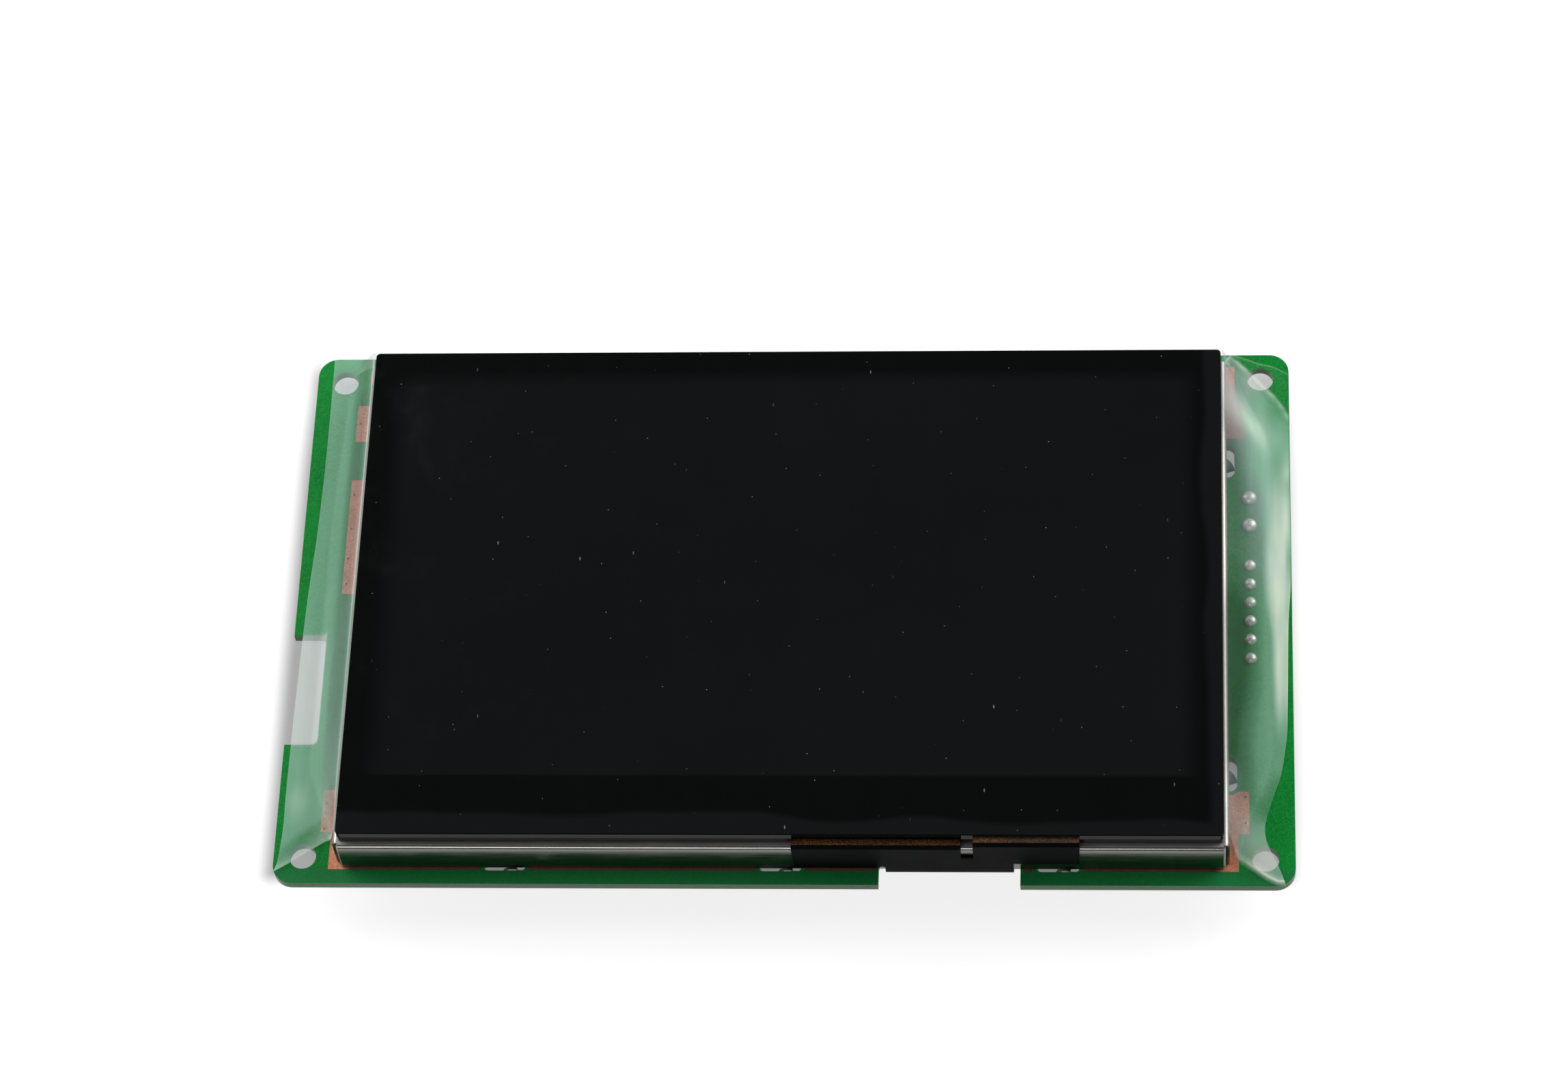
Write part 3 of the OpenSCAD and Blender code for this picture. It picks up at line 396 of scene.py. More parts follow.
def clear_film():
    """The film's clear skin. Its milkiness, painted sheen, painted green tint and painted shade are drawn
    on the mesh.
    """
    p = Paint("clear_film", roughness=0.5, specular_ior_level=0.2)
    stripes = p.noise(1.6, 3, 0.6, p.stretched(1, 0.07))
    cloud = p.noise(7, 3, 0.6)
    wear = p.math("MULTIPLY", p.step(stripes, 0.3, 0.7, 0.95, 1.05), p.step(cloud, 0.3, 0.7, 0.95, 1.05))
    # painted sheen: the haze turns pale where the mesh holds it
    pale = p.mix(p.step(cloud, 0.35, 0.7, 0, 0.7), srgb(244, 250, 240), srgb(232, 244, 214))
    # painted light from below: the haze turns green where the mesh holds the tint
    haze = p.mix(p.drawn("tint"), srgb(200, 214, 220), srgb(188, 240, 216))
    # painted shade: the haze turns dark where the mesh holds shade
    haze = p.mix(p.drawn("shade"), haze, srgb(6, 24, 20))
    p.set(base_color=p.mix(p.drawn("painted_sheen"), haze, pale))
    # specks of dust and fluff, more in some places than in others
    dust = p.step(p.cells(6.5, flat=True), 0.0064, 0.0138, 1, 0)
    fluff = p.step(p.cells(12, p.stretched(1, 0.35, 1, 0.6), flat=True), 0.004, 0.009, 1, 0)
    marks = p.math("MULTIPLY", p.math("MAXIMUM", dust, fluff), p.step(p.noise(9), 0.4, 0.65, 0.02, 0.24))
    # air under the film along the panel's front and right borders
    wave = p.math("MULTIPLY", p.math("SUBTRACT", p.noise(22, 2, 0.4), 0.5), 6)
    front = p.step(p.math("ADD", p.axis("Y"), wave), -30.4, -31.4)
    side = p.step(p.math("SUBTRACT", p.axis("X"), wave), 49.2, 50.4)
    air = p.math("MULTIPLY", p.math("MAXIMUM", front, side), 0.006)
    haze_and_sheen = p.math("MULTIPLY", p.drawn("haze_and_sheen"), wear)
    p.set(alpha=p.math("ADD", haze_and_sheen, p.math("ADD", marks, air), clamp=True))
    p.bump(stripes, 0.02, 0.3)
    return p.material


def glassy(name, tint, alpha):
    p = Paint(name, base_color=tint, roughness=0.06, alpha=alpha)
    p.bump(p.noise(8, 2), 0.01, 0.2)
    return p.material


def make_materials():
    """Every material slot of the record, by name."""
    return {
        "solder_mask": solder_mask(),
        "copper": copper(),
        "steel": steel(),
        "amber_film": amber_film(),
        "black_film": black_film(),
        "sensor_glass": sensor_glass(),
        "clear_film": clear_film(),
        "clear_acrylic": glassy("clear_acrylic", srgb(225, 236, 240), 0.6),
        "cell_glass": glassy("cell_glass", srgb(150, 165, 168), 0.75),
        "white_plastic": moulded("white_plastic", srgb(232, 232, 228), srgb(222, 222, 216)),
        "green_plastic": moulded("green_plastic", srgb(38, 128, 62), srgb(32, 116, 54)),
        "ivory_plastic": moulded("ivory_plastic", srgb(236, 230, 212), srgb(226, 220, 200)),
        "optical_sheet": moulded("optical_sheet", srgb(236, 238, 242), srgb(226, 228, 234), 0.4),
        "lamp": moulded("lamp", srgb(240, 230, 150), srgb(236, 220, 120), 0.4),
        "polariser": moulded("polariser", srgb(18, 18, 22), srgb(14, 14, 18), 0.2, 0.002),
        "foam": moulded("foam", srgb(12, 12, 12), srgb(20, 20, 20), 0.85, 0.05),
        "chip_black": moulded("chip_black", srgb(24, 24, 26), srgb(32, 32, 34), 0.6, 0.02),
        "ferrite": moulded("ferrite", srgb(58, 58, 60), srgb(70, 70, 72), 0.7, 0.03),
        "ceramic_tan": moulded("ceramic_tan", srgb(172, 142, 104), srgb(156, 126, 90), 0.45),
        "solder": metal("solder", srgb(218, 216, 211), 0.37, 1.2, 0.003, 0.65),
        "tinned_metal": metal("tinned_metal", srgb(205, 205, 202), 0.25),
        "crystal_can": metal("crystal_can", srgb(200, 200, 196), 0.3, 0.3),
        "can_aluminium": metal("can_aluminium", srgb(214, 216, 218), 0.35, 0.2),
    }


def dress_nodes(materials):
    """Gives each CAD node the material of its slot in the record."""
    for part in frame["record"]["subparts"]:
        mesh = NODES[part["node"]].data
        mesh.materials.clear()
        mesh.materials.append(materials[part["material_slot"]])


# ---------- meshes and pieces ----------

def mesh_from(name, points, faces):
    mesh = bpy.data.meshes.new(name)
    mesh.from_pydata([Vector(p) * MM for p in points], [], faces)
    mesh.update()
    return mesh


def draw_on(mesh, name, values):
    """One number for each point of a mesh, which a material reads by name."""
    mesh.attributes.new(name, "FLOAT", "POINT").data.foreach_set("value", values)


def circle(centre, radius, around):
    """Places on a circle."""
    turns = [2 * math.pi * j / around for j in range(around)]
    return [(centre[0] + radius * math.cos(a), centre[1] + radius * math.sin(a)) for a in turns]


def skin(faces, first, rings, around):
    """Faces between rings of points that follow one another from index first on."""
    for i in range(rings - 1):
        for j in range(around):
            a = first + i * around + j
            b = first + i * around + (j + 1) % around
            faces.append((a, b, b + around, a + around))


def add_piece(name, mesh, slot, materials, smooth=True):
    """Links a mesh in the row frame as a piece on the only body."""
    piece = bpy.data.objects.new(name, mesh)
    bpy.context.scene.collection.objects.link(piece)
    mesh.materials.append(materials[slot])
    if smooth:
        for face in mesh.polygons:
            face.use_smooth = True
    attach(piece, "root")
    return piece


# ---------- protective film ----------

FILM_LOW = COPPER_TOP + 0.08     # where the film lies on the board
FILM_ON_GLASS = COVER_HIGH.z + 0.01
FILM_ROWS = 240
WING_STEPS = 44
FLAT_STEPS = 24

# The film's outline on the board, from the front to the back: places on its left and right edges
FILM_LEFT = [(-60.3, -35.05), (-59.95, -33.2), (-59.66, -29), (-59.7, -25), (-59.65, -17), (-59.55, -9),
             (-59.35, 0), (-59.15, 5), (-58.88, 10), (-58.62, 20), (-58.6, 28), (-58.65, 36.1)]
FILM_RIGHT = [(59.3, -36.45), (58.8, -34.6), (57.7, -32), (57.1, -30.4), (57.0, -28.4), (57.76, -25.45),
              (58.85, -22.1), (59.5, -18.2), (59.75, -15.4), (60.07, -1.3), (60.39, 4.4), (60.4, 33.4)]

# Its front and back edges, from the touch panel outwards, the creases across it, and the line of a painted
# crease shadow
LEFT_FRONT = [(-52.1, -33.45), (-52.9, -31.4), (-53.8, -30.9), (-55.4, -31.8), (-57, -32.9),
              (-58.5, -33.95), (-60.3, -35.05)]
RIGHT_FRONT = [(52.1, -33.45), (52.9, -32.7), (54, -33.6), (55.5, -34.65), (56.9, -35.65),
               (58.2, -36.35), (59.3, -36.45)]
LEFT_BACK = [(-52.1, 32.95), (-52.9, 35.6), (-54.5, 36.15), (-58.7, 36.15)]
RIGHT_BACK = [(52.1, 32.95), (52.8, 35.6), (53.6, 36.1), (55.5, 35.5), (56.9, 34.9),
              (58.5, 34.5), (60.4, 33.4)]
THICK_CREASE = [(52.9, 35.9), (54.15, 35), (55.85, 33.2), (57.2, 31.6), (58.6, 30),
                (59.6, 28.5), (60.4, 26.8)]
CREASE_SHADOW_LINE = [(-53.55, 28.6), (-53.75, 27.6), (-53.72, 26.8), (-53.55, 25.9)]

# Soft clouds on the film; the sheen spots are painted sheen, the shade spots painted shade, the others
# haze and clearings: strength, middle, half widths, and turn in degrees where one is turned
LEFT_SHEEN_SPOTS = [(0.08, (-56.4, -9), (0.7, 8)), (0.25, (-58.2, -25.6), (1, 2)), (0.2, (-54.2, -27), (1.4, 4))]
LEFT_SHADE_SPOTS = [(0.4, (-57, -30.3), (2.6, 0.6), 42), (0.55, (-54.4, -31.4), (1.5, 1.2))]
RIGHT_CLOUDS = [(0.05, (54, 26.4), (1.3, 3.6)), (0.2, (56.3, 19.5), (1.9, 4.6), 8),
                (0.2, (56.5, 28.3), (1.3, 3)), (0.07, (57.6, 12.5), (1.1, 7)),
                (0.13, (58.8, 24), (1.4, 2.2)), (0.07, (55.6, -30.2), (2, 1.6))]
RIGHT_CLEARINGS = [(0.3, (59, 28.8), (1.2, 1.6)), (0.4, (56.2, -26), (1.5, 1.5))]
RIGHT_SHEEN_SPOTS = [(0.45, (56.5, 24.7), (1.2, 2.2), 10), (0.36, (54, 26.4), (1.3, 3.6)),
               (0.15, (54.6, -29.5), (1.6, 2.4)), (0.25, (60.2, 20.8), (0.5, 2)),
               (0.25, (60, 13.5), (0.35, 3.6)), (0.2, (60.1, 19.2), (0.5, 1))]


def curve(points, at, key=1):
    """The other coordinate where coordinate key is at, on a smooth curve through a line of places."""
    other = 1 - key
    if at <= points[0][key]:
        return points[0][other]
    for k in range(len(points) - 1):
        start, end = points[k], points[k + 1]
        if at <= end[key]:
            before, after = points[max(k - 1, 0)], points[min(k + 2, len(points) - 1)]
            slope1 = (end[other] - before[other]) / (end[key] - before[key])
            slope2 = (after[other] - start[other]) / (after[key] - start[key])
            span = end[key] - start[key]
            t = (at - start[key]) / span
            return ((2 * t**3 - 3 * t**2 + 1) * start[other] + (t**3 - 2 * t**2 + t) * span * slope1
                    + (3 * t**2 - 2 * t**3) * end[other] + (t**3 - t**2) * span * slope2)
    return points[-1][other]


def smooth(value, low, high):
    """0 below low, 1 above high and a smooth step between them; high may be the lower one."""
    t = min(max((value - low) / (high - low), 0), 1)
    return t * t * (3 - 2 * t)


def crest(distance, width):
    """1 on a line and less beside it, where distance is how far off the line a place is."""
    return math.exp(-((distance / width) ** 2))


def spot(x, y, place, size, turn=0.0):
    """A soft blob that is 1 at its middle, with half widths size, turned by turn degrees."""
    a = math.radians(turn)
    dx, dy = x - place[0], y - place[1]
    u = (dx * math.cos(a) + dy * math.sin(a)) / size[0]
    v = (dy * math.cos(a) - dx * math.sin(a)) / size[1]
    return math.exp(-(u * u + v * v) * 0.7)


def clouds(x, y, spots):
    return sum(strength * spot(x, y, *where) for strength, *where in spots)


def off_line(x, y, points):
    """Distance of a place from a line of places, less than 0 on the line's right."""
    nearest, sign = math.inf, 1
    for (x1, y1), (x2, y2) in zip(points, points[1:]):
        dx, dy = x2 - x1, y2 - y1
        t = min(max(((x - x1) * dx + (y - y1) * dy) / (dx * dx + dy * dy), 0), 1)
        distance = math.hypot(x - x1 - t * dx, y - y1 - t * dy)
        if distance < nearest:
            nearest = distance
            sign = 1 if dx * (y - y1) - dy * (x - x1) > 0 else -1
    return nearest * sign


def lumps(x, y, seed):
    return value_noise.noise(Vector((x, y, seed)))


def film_height(x, y):
    """Height of the film's underside. It hangs like a tent from the touch panel's edge to the board."""
    past = max(abs(x) - COVER_HIGH.x, 0)
    # a fold is a line, how far the film rises there, how far inside the line, and its half width
    if x > 0:
        reach = 2 + 4.2 * smooth(y, -33, -18) * smooth(y, 34, 22)
        folds = [(THICK_CREASE, 0.35, 0, 0.35), (RIGHT_BACK, 0.2, 0, 0.35), (RIGHT_FRONT, 0.4, 0.5, 0.35)]
        seed = 3
    else:
        reach = 1.8 + 3.4 * smooth(y, -31, -20) - 0.8 * smooth(y, 10, 34)
        folds = [(LEFT_FRONT, 0.4, 0, 0.4)]
        seed = 9
    # how far down the slope a place is, beside the touch panel, behind it or ahead of it
    behind = max(y - COVER_HIGH.y, 0) / 2.6
    ahead = max(COVER_LOW.y - y, 0) / 1.6
    share = min(math.hypot(past / reach, max(behind, ahead)), 1)
    if share <= 0:
        return FILM_ON_GLASS
    height = FILM_LOW + (FILM_ON_GLASS - FILM_LOW) * (1 + math.cos(math.pi * share)) / 2
    ripple = 0.22 * lumps(x * 0.22, y * 0.06, seed)
    height += max(0.12 + ripple, 0.02) * math.sin(math.pi * share) ** 2
    for line, rise, inset, width in folds:
        height += rise * crest(off_line(x, y, line) - inset, width) * smooth(past, 0.6, 1.6)
    return height


def left_haze_and_light(x, y):
    """Milkiness with painted sheen and shade in it, painted sheen, painted green tint and painted shade of
    the left wing.
    """
    past = -COVER_HIGH.x - x
    # painted shade of the touch panel on the board beside it, weaker towards the front
    shade = smooth(past, 0.3, 1.2) * smooth(past, 3.8, 2.2) * (1 - 0.6 * smooth(y, 2, -6))
    haze_and_sheen = 0.295 - 0.085 * smooth(past, 3.6, 1.2) + 0.05 * smooth(past, 0.7, 0.2)
    haze_and_sheen += 0.03 * smooth(y, -8, -24) + 0.02 * smooth(y, 6, -4)
    haze_and_sheen += 0.012 * lumps(x * 0.9, y * 0.05, 4)
    # the bend over the touch panel's edge gets a painted highlight
    bend = smooth(past, 0.02, 0.1) * smooth(past, 0.4, 0.28) * smooth(y, 33.1, 32.7)
    haze_and_sheen += (0.62 + 0.2 * smooth(y, 5, -30)) * bend
    # painted sheen in soft spots, which also makes the film milkier
    painted_sheen = clouds(x, y, LEFT_SHEEN_SPOTS)
    haze_and_sheen += 0.5 * painted_sheen
    # the front fold: painted shade in the clearer patches behind it, painted highlights along it and
    # painted glints where it crumples
    fold = off_line(x, y, LEFT_FRONT)
    haze_and_sheen *= 1 - clouds(x, y, LEFT_SHADE_SPOTS)
    ridge = crest(fold + 0.25, 0.4) * (0.5 + 0.3 * smooth(x, -59.5, -55.5))
    veil = crest(abs(fold) - 0.9, 0.8)
    crumple_glints = max(spot(x, y, (-54.3, -30.2), (1.2, 0.7), 20) * (0.7 + 0.9 * lumps(x * 2.2, y * 2.2, 1)), 0)
    haze_and_sheen += 0.12 * ridge + 0.03 * veil + 0.2 * crumple_glints
    painted_sheen += 0.35 * ridge + 0.1 * veil + 0.5 * crumple_glints + 0.9 * bend
    # a short painted shadow of a crease beside the upper pad
    crease_shadow = crest(off_line(x, y, CREASE_SHADOW_LINE), 0.1) * smooth(y, 25.9, 26.3) * smooth(y, 28.6, 28.2)
    haze_and_sheen += 0.5 * crease_shadow
    # over the board the film is painted green, painted light from the board below; over the notch and the
    # holes it is painted white, painted light from the floor below
    notch = smooth(x, -56.2, -56.5) * smooth(y, -18.2, -17.8) * smooth(y, -2.8, -3.2)
    hole = min(spot(x, y, (-HOLE_X, HOLE_Y), (1.5, 1.5)) + spot(x, y, (-HOLE_X, -33.4), (1.9, 1.7)), 1)
    haze_and_sheen *= (1 - 0.25 * crest(abs(fold) - 1.6, 1.1)) * (1 - 0.45 * hole)
    haze_and_sheen += 0.16 * notch
    tint = smooth(past, 1, 4.2) * (1 - max(notch, hole))
    return haze_and_sheen, painted_sheen + 0.45 * notch, tint, 0.34 * shade * (1 - bend) + crease_shadow


def lamp_sheen_band(x, y, from_edge):
    """The right wing's long pale band beside its outer edge, a painted reflection of a lamp, with a
    slanting inner side.
    """
    inner = 58.15 + 0.015 * (1 - y) * smooth(y, 4, -2) + 0.25 * smooth(y, 8, 14)
    band = smooth(x, inner - 0.5 - 0.9 * smooth(y, -4, 4), inner + 0.5)
    band *= smooth(y, 23, 12) * smooth(y, -19, -10)
    rim_fall = 0.35 * smooth(y, 2, 8) + 0.35 * smooth(y, 12, 7) * smooth(y, -3, 1)
    band *= 1 - rim_fall * smooth(from_edge, 0.9, 0.2) - 0.16 * smooth(x, 58.9, 59.6) * smooth(y, 0, -6)
    band *= 1 + 0.12 * lumps(x, y * 0.25, 2)
    return band * (0.6 + 0.2 * spot(59, y, (59, 4), (1, 5)) + 0.18 * spot(59, y, (59, -8), (1, 4)))


def right_haze_and_light(x, y):
    """Milkiness with painted sheen and shade in it, painted sheen, painted green tint and painted shade of
    the right wing.
    """
    past = x - COVER_HIGH.x
    from_edge = curve(FILM_RIGHT, y) - x
    # thin beside the bezel, milkier outwards, with a long painted shadow of the panel along the front half
    dark_to = 57.3 - 1.3 * smooth(y, -8, -21) + 0.3 * lumps(0, y * 0.2, 8)
    front_half = smooth(y, 5, -4)
    haze_and_sheen = 0.11 + 0.13 * smooth(past, 1.5, 5)
    panel_shadow = front_half * smooth(x, dark_to, dark_to - 3.2) * smooth(y, -27, -21)
    haze_and_sheen += (0.4 - haze_and_sheen) * panel_shadow
    haze_and_sheen += 0.05 * smooth(y, -16, -26) + 0.15 * smooth(y, 22, 26) * smooth(past, 4.6, 3)
    haze_and_sheen += clouds(x, y, RIGHT_CLOUDS)
    for strength, *where in RIGHT_CLEARINGS:
        haze_and_sheen *= 1 - strength * spot(x, y, *where)
    haze_and_sheen *= 1 - 0.5 * smooth(from_edge, 1.8, 0.2) * smooth(y, -20.5, -23) * smooth(y, -29, -27)
    # painted sheen in soft spots and in a long band beside the outer edge, which also makes the film
    # milkier
    painted_sheen = clouds(x, y, RIGHT_SHEEN_SPOTS) + lamp_sheen_band(x, y, from_edge)
    haze_and_sheen += 0.62 * painted_sheen
    # the back corner is pressed flat and clear beyond the thick crease
    thick = off_line(x, y, THICK_CREASE)
    haze_and_sheen *= smooth(thick, 0.25, -0.4)
    # painted highlights along the thick crease and the back edge, and a painted sheen at the back
    ridge = crest(thick, 0.3) * (0.6 + 0.45 * lumps(x * 0.8, y * 0.8, 5))
    thin = crest(off_line(x, y, RIGHT_BACK), 0.15) * 0.7
    shine = 0.1 * spot(x, y, (56.5, 35.7), (2.4, 0.5), -12)
    # the front corner's fold, with a painted highlight along its edge and a painted sheen beside it
    fold = off_line(x, y, RIGHT_FRONT)
    rim = crest(fold - 0.5, 0.2) * smooth(past, 0.8, 2) * smooth(x, 53.6, 57)
    haze_and_sheen *= smooth(fold, -0.02, 0.45)
    veil = smooth(fold, 1.8, 0.3) * smooth(past, 0.5, 2) * smooth(y, -30, -33)
    haze_and_sheen += 0.42 * ridge + 0.25 * thin + shine + 0.3 * rim + 0.12 * veil * smooth(fold, -0.1, 0.5)
    painted_sheen += 0.6 * ridge + 0.4 * thin + 0.7 * rim + 0.3 * veil
    # over the holes it is painted white, painted light from the floor below, and there and beside the
    # solder joints it gets less of the board's painted green light
    hole = sum(spot(x, y, (HOLE_X, hole_y), (1.6, 1.6)) for hole_y in (HOLE_Y, -HOLE_Y))
    grey = smooth(x, 58, 56.6) * smooth(y, 1, 5) * smooth(y, 20, 15)
    tint = smooth(past, 1.5, 4.5) * (1 - 0.95 * min(hole, 1)) * (1 - 0.9 * grey)
    # painted shade: the panel's shadow along the front half, and a little beside the panel further back
    shade = panel_shadow**0.5 + 0.15 * smooth(past, 2.5, 1.5) * (1 - front_half) * smooth(y, 22, 18)
    return haze_and_sheen, painted_sheen + 0.9 * hole, tint, shade


def wing_row(side, edge, front_line, back_line, v):
    """Places from the touch panel out to the film's edge, at share v of the way from front to back."""
    front_line = [(side * x, y) for x, y in front_line]
    back_line = [(side * x, y) for x, y in back_line]

    def y_at(x):
        y_front = curve(front_line, side * x, 0)
        return y_front + (curve(back_line, side * x, 0) - y_front) * v

    x_edge = curve(edge, edge[0][1] + (edge[-1][1] - edge[0][1]) * v)
    # a few rounds settle on the place where this row meets the edge
    for _ in range(8):
        x_edge = curve(edge, y_at(x_edge))
    x_start = side * COVER_HIGH.x
    places = [x_start + (x_edge - x_start) * i / WING_STEPS for i in range(WING_STEPS + 1)]
    return [(x, y_at(x)) for x in places]


def film_sheet(materials):
    """The clear film: flat on the glass, sloping down to the board on both sides."""
    half = COVER_HIGH.x
    front, back = COVER_LOW.y - 0.1, COVER_HIGH.y + 0.25
    grid = []
    for j in range(FILM_ROWS + 1):
        v = j / FILM_ROWS
        left = wing_row(-1, FILM_LEFT, LEFT_FRONT, LEFT_BACK, v)
        right = wing_row(1, FILM_RIGHT, RIGHT_FRONT, RIGHT_BACK, v)
        across = [-half + 2 * half * i / FLAT_STEPS for i in range(1, FLAT_STEPS)]
        flat = [(x, front + (back - front) * v) for x in across]
        grid.append(left[::-1] + flat + right)
    width = len(grid[0])
    points = [(x, y, film_height(x, y)) for row in grid for x, y in row]
    faces = []
    for j in range(FILM_ROWS):
        for a in range(j * width, (j + 1) * width - 1):
            faces.append((a, a + 1, a + width + 1, a + width))
    mesh = mesh_from("film_sheet", points, faces)
    drawn = {"haze_and_sheen": [], "painted_sheen": [], "tint": [], "shade": []}
    for x, y, _ in points:
        values = left_haze_and_light(x, y) if x < 0 else right_haze_and_light(x, y)
        share = smooth(abs(x), half, half + 0.5)
        for layer, value in zip(drawn.values(), values):
            layer.append(min(max(value, 0.01), 0.95) * share + 0.002)
    for name, layer in drawn.items():
        draw_on(mesh, name, layer)
    piece = add_piece("film_sheet", mesh, "clear_film", materials)
    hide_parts("protective_film")


# ---------- copper and solder on the board's front ----------

# Wide copper pads: side, back end, length, and where their vias are, as shares of the length
PAD_VIAS = [
    (-1, 29.5, 5.2, [0.5]),
    (-1, 18.8, 16.1, [0.13, 0.43, 0.69, 0.91]),
    (-1, -24, 5.6, [0.32, 0.55, 0.92]),
    (1, 29.5, 5.2, [0.24, 0.74]),
    (1, -24, 5.6, [0.12, 0.74]),
]
VIA_INSET = 0.45
VIA_R = 0.27
# A via's rings from its foot to its middle: share of the radius, height, and 1 where it is the hole, a
# flat disc painted dark as painted shade
VIA_PROFILE = [(1, 0.002, 0), (0.85, 0.02, 0), (0.6, 0.02, 0), (0.48, 0.008, 1), (0, 0.006, 1)]


def pad_vias(materials):
    """Small plated vias in the wide copper pads: a low ring round a hole, which is a flat disc painted
    dark, a painted shade.
    """
    around = 20
    points, faces, dark = [], [], []
    for side, back, length, shares in PAD_VIAS:
        for share in shares:
            centre = (side * (COPPER_HIGH.x - VIA_INSET), back - length * share)
            skin(faces, len(points), len(VIA_PROFILE), around)
            for r, z, hole in VIA_PROFILE:
                points += [(x, y, COPPER_TOP + z) for x, y in circle(centre, VIA_R * r, around)]
                dark += [hole] * around
    mesh = mesh_from("pad_vias", points, faces)
    draw_on(mesh, "hole", dark)
    add_piece("pad_vias", mesh, "copper", materials)


def solder_domes(materials):
    """Round, slightly uneven solder joints over the headers' pins."""
    points, faces = [], []
    rings, around = 10, 28
    for k, (low, high) in enumerate(islands("solder_joints")):
        centre = (low + high) / 2
        radius = (high.x - low.x) / 2
        lean_x, lean_y = random.uniform(-0.06, 0.06), random.uniform(-0.06, 0.06)
        first = len(points)
        skin(faces, first, rings, around)
        faces.append(tuple(first + j for j in reversed(range(around))))
        for i in range(rings):
            t = i / (rings - 1)
            r = radius * math.cos(t * math.pi / 2) ** 0.8
            z = low.z + (high.z - low.z) * math.sin(t * math.pi / 2)
            for cos, sin in circle((0, 0), 1, around):
                uneven = r * (1 + 0.03 * value_noise.noise(Vector((cos * 2, sin * 2, k * 5 + t))))
                points.append((centre.x + uneven * cos + lean_x * t * t,
                               centre.y + uneven * sin + lean_y * t * t, z))
    piece = add_piece("solder_domes", mesh_from("solder_domes", points, faces), "solder", materials)
    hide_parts("solder_joints")


# ---------- the board's rear ----------

TRACK_T = 0.03
INK_T = 0.02
INK_W = 0.2
PAD_T = 0.05


class Relief:
    """Low strips and rings on the board's rear face."""

    def __init__(self, thickness):
        self.thickness = thickness
        self.points, self.faces = [], []

    def line(self, places, width=0.25):
        """A strip along a line, with mitred bends."""
        places = [Vector(place) for place in places]
        steps = [(b - a).normalized() for a, b in zip(places, places[1:])]
        first = len(self.points)
        for i, place in enumerate(places):
            before, after = steps[max(i - 1, 0)], steps[min(i, len(steps) - 1)]
            both = (before + after) / (1 + before.dot(after))
            across = Vector((-both.y, both.x)) * width / 2
            for side, z in ((1, 0), (1, -self.thickness), (-1, -self.thickness), (-1, 0)):
                self.points.append((place.x + side * across.x, place.y + side * across.y, z))
        for i in range(len(places) - 1):
            a = first + 4 * i
            self.faces += [(a + k, a + k + 4, a + k + 5, a + k + 1) for k in range(3)]

    def ring(self, centre, radius, width, around):
        places = circle(centre, radius, around)
        self.line(places + places[:1], width)

    def corners(self, box, margin):
        """An L at each corner of a part's outline."""
        low, high = box
        arm = 1.4
        for x, way_x in ((low.x - margin, 1), (high.x + margin, -1)):
            for y, way_y in ((low.y - margin, 1), (high.y + margin, -1)):
                self.line([(x + way_x * arm, y), (x, y), (x, y + way_y * arm)], INK_W)

    def frame(self, box):
        """A part's outline, closed along its front side."""
        low, high = box
        margin = 0.4
        x0, x1, y0, y1 = low.x - margin, high.x + margin, low.y - margin, high.y + margin
        self.line([(x0 + 1, y0), (x1, y0), (x1, y1), (x0, y1), (x0, y0), (x0 + 1, y0)], INK_W)

    def make_piece(self, name, slot, materials):
        """The strips and rings as one piece."""
        mesh = mesh_from(name, self.points, self.faces)
        add_piece(name, mesh, slot, materials, smooth=False)
        return mesh


def long_axis(low, high):
    """0 for a part that is longer along X, 1 for one that is longer along Y."""
    return 0 if high.x - low.x > high.y - low.y else 1


def jog(start, end, bend, axis):
    """A track along one axis that crosses over at 45 degrees from bend on."""
    cross = 1 - axis
    turn = math.copysign(abs(end[cross] - start[cross]), end[axis] - start[axis])
    leaves, joins = [0, 0], [0, 0]
    leaves[axis], leaves[cross] = bend, start[cross]
    joins[axis], joins[cross] = bend + turn, end[cross]
    return [start, leaves, joins, end]


def chip_tracks(tracks):
    """From the resistors and the sockets to the controller and the memory chip, and between these two."""
    chip_low, chip_high = box_mm("controller_chip")
    memory_low = box_mm("memory_chip")[0]
    starts = sorted((middle_of(box, 0), box[1].y) for box in islands("resistors"))
    lead_pitch = 1.5
    for i, (x, y) in enumerate(starts[:5]):
        lead = chip_high.y - lead_pitch * (i + 1)
        tracks.line([(x, y), (x, lead - 1), (x + 1, lead), (chip_low.x - 1, lead)])
    for i, (x, y) in enumerate(starts[6:]):
        tracks.line(jog((x, y), (memory_low.x + 1 + 1.2 * i, memory_low.y), y + 0.4 + 0.5 * i, 1))
    for box in islands("socket_contacts"):
        x, y = middle_of(box, 0), box[1].y
        tracks.line([(x, y), (x, y + 0.9)])
        tracks.ring((x, y + 1.1), 0.2, 0.16, 12)
    for i in range(8):
        y = chip_low.y + 0.8 + 1.2 * i
        tracks.line([(chip_high.x + 1, y), (memory_low.x, y)])


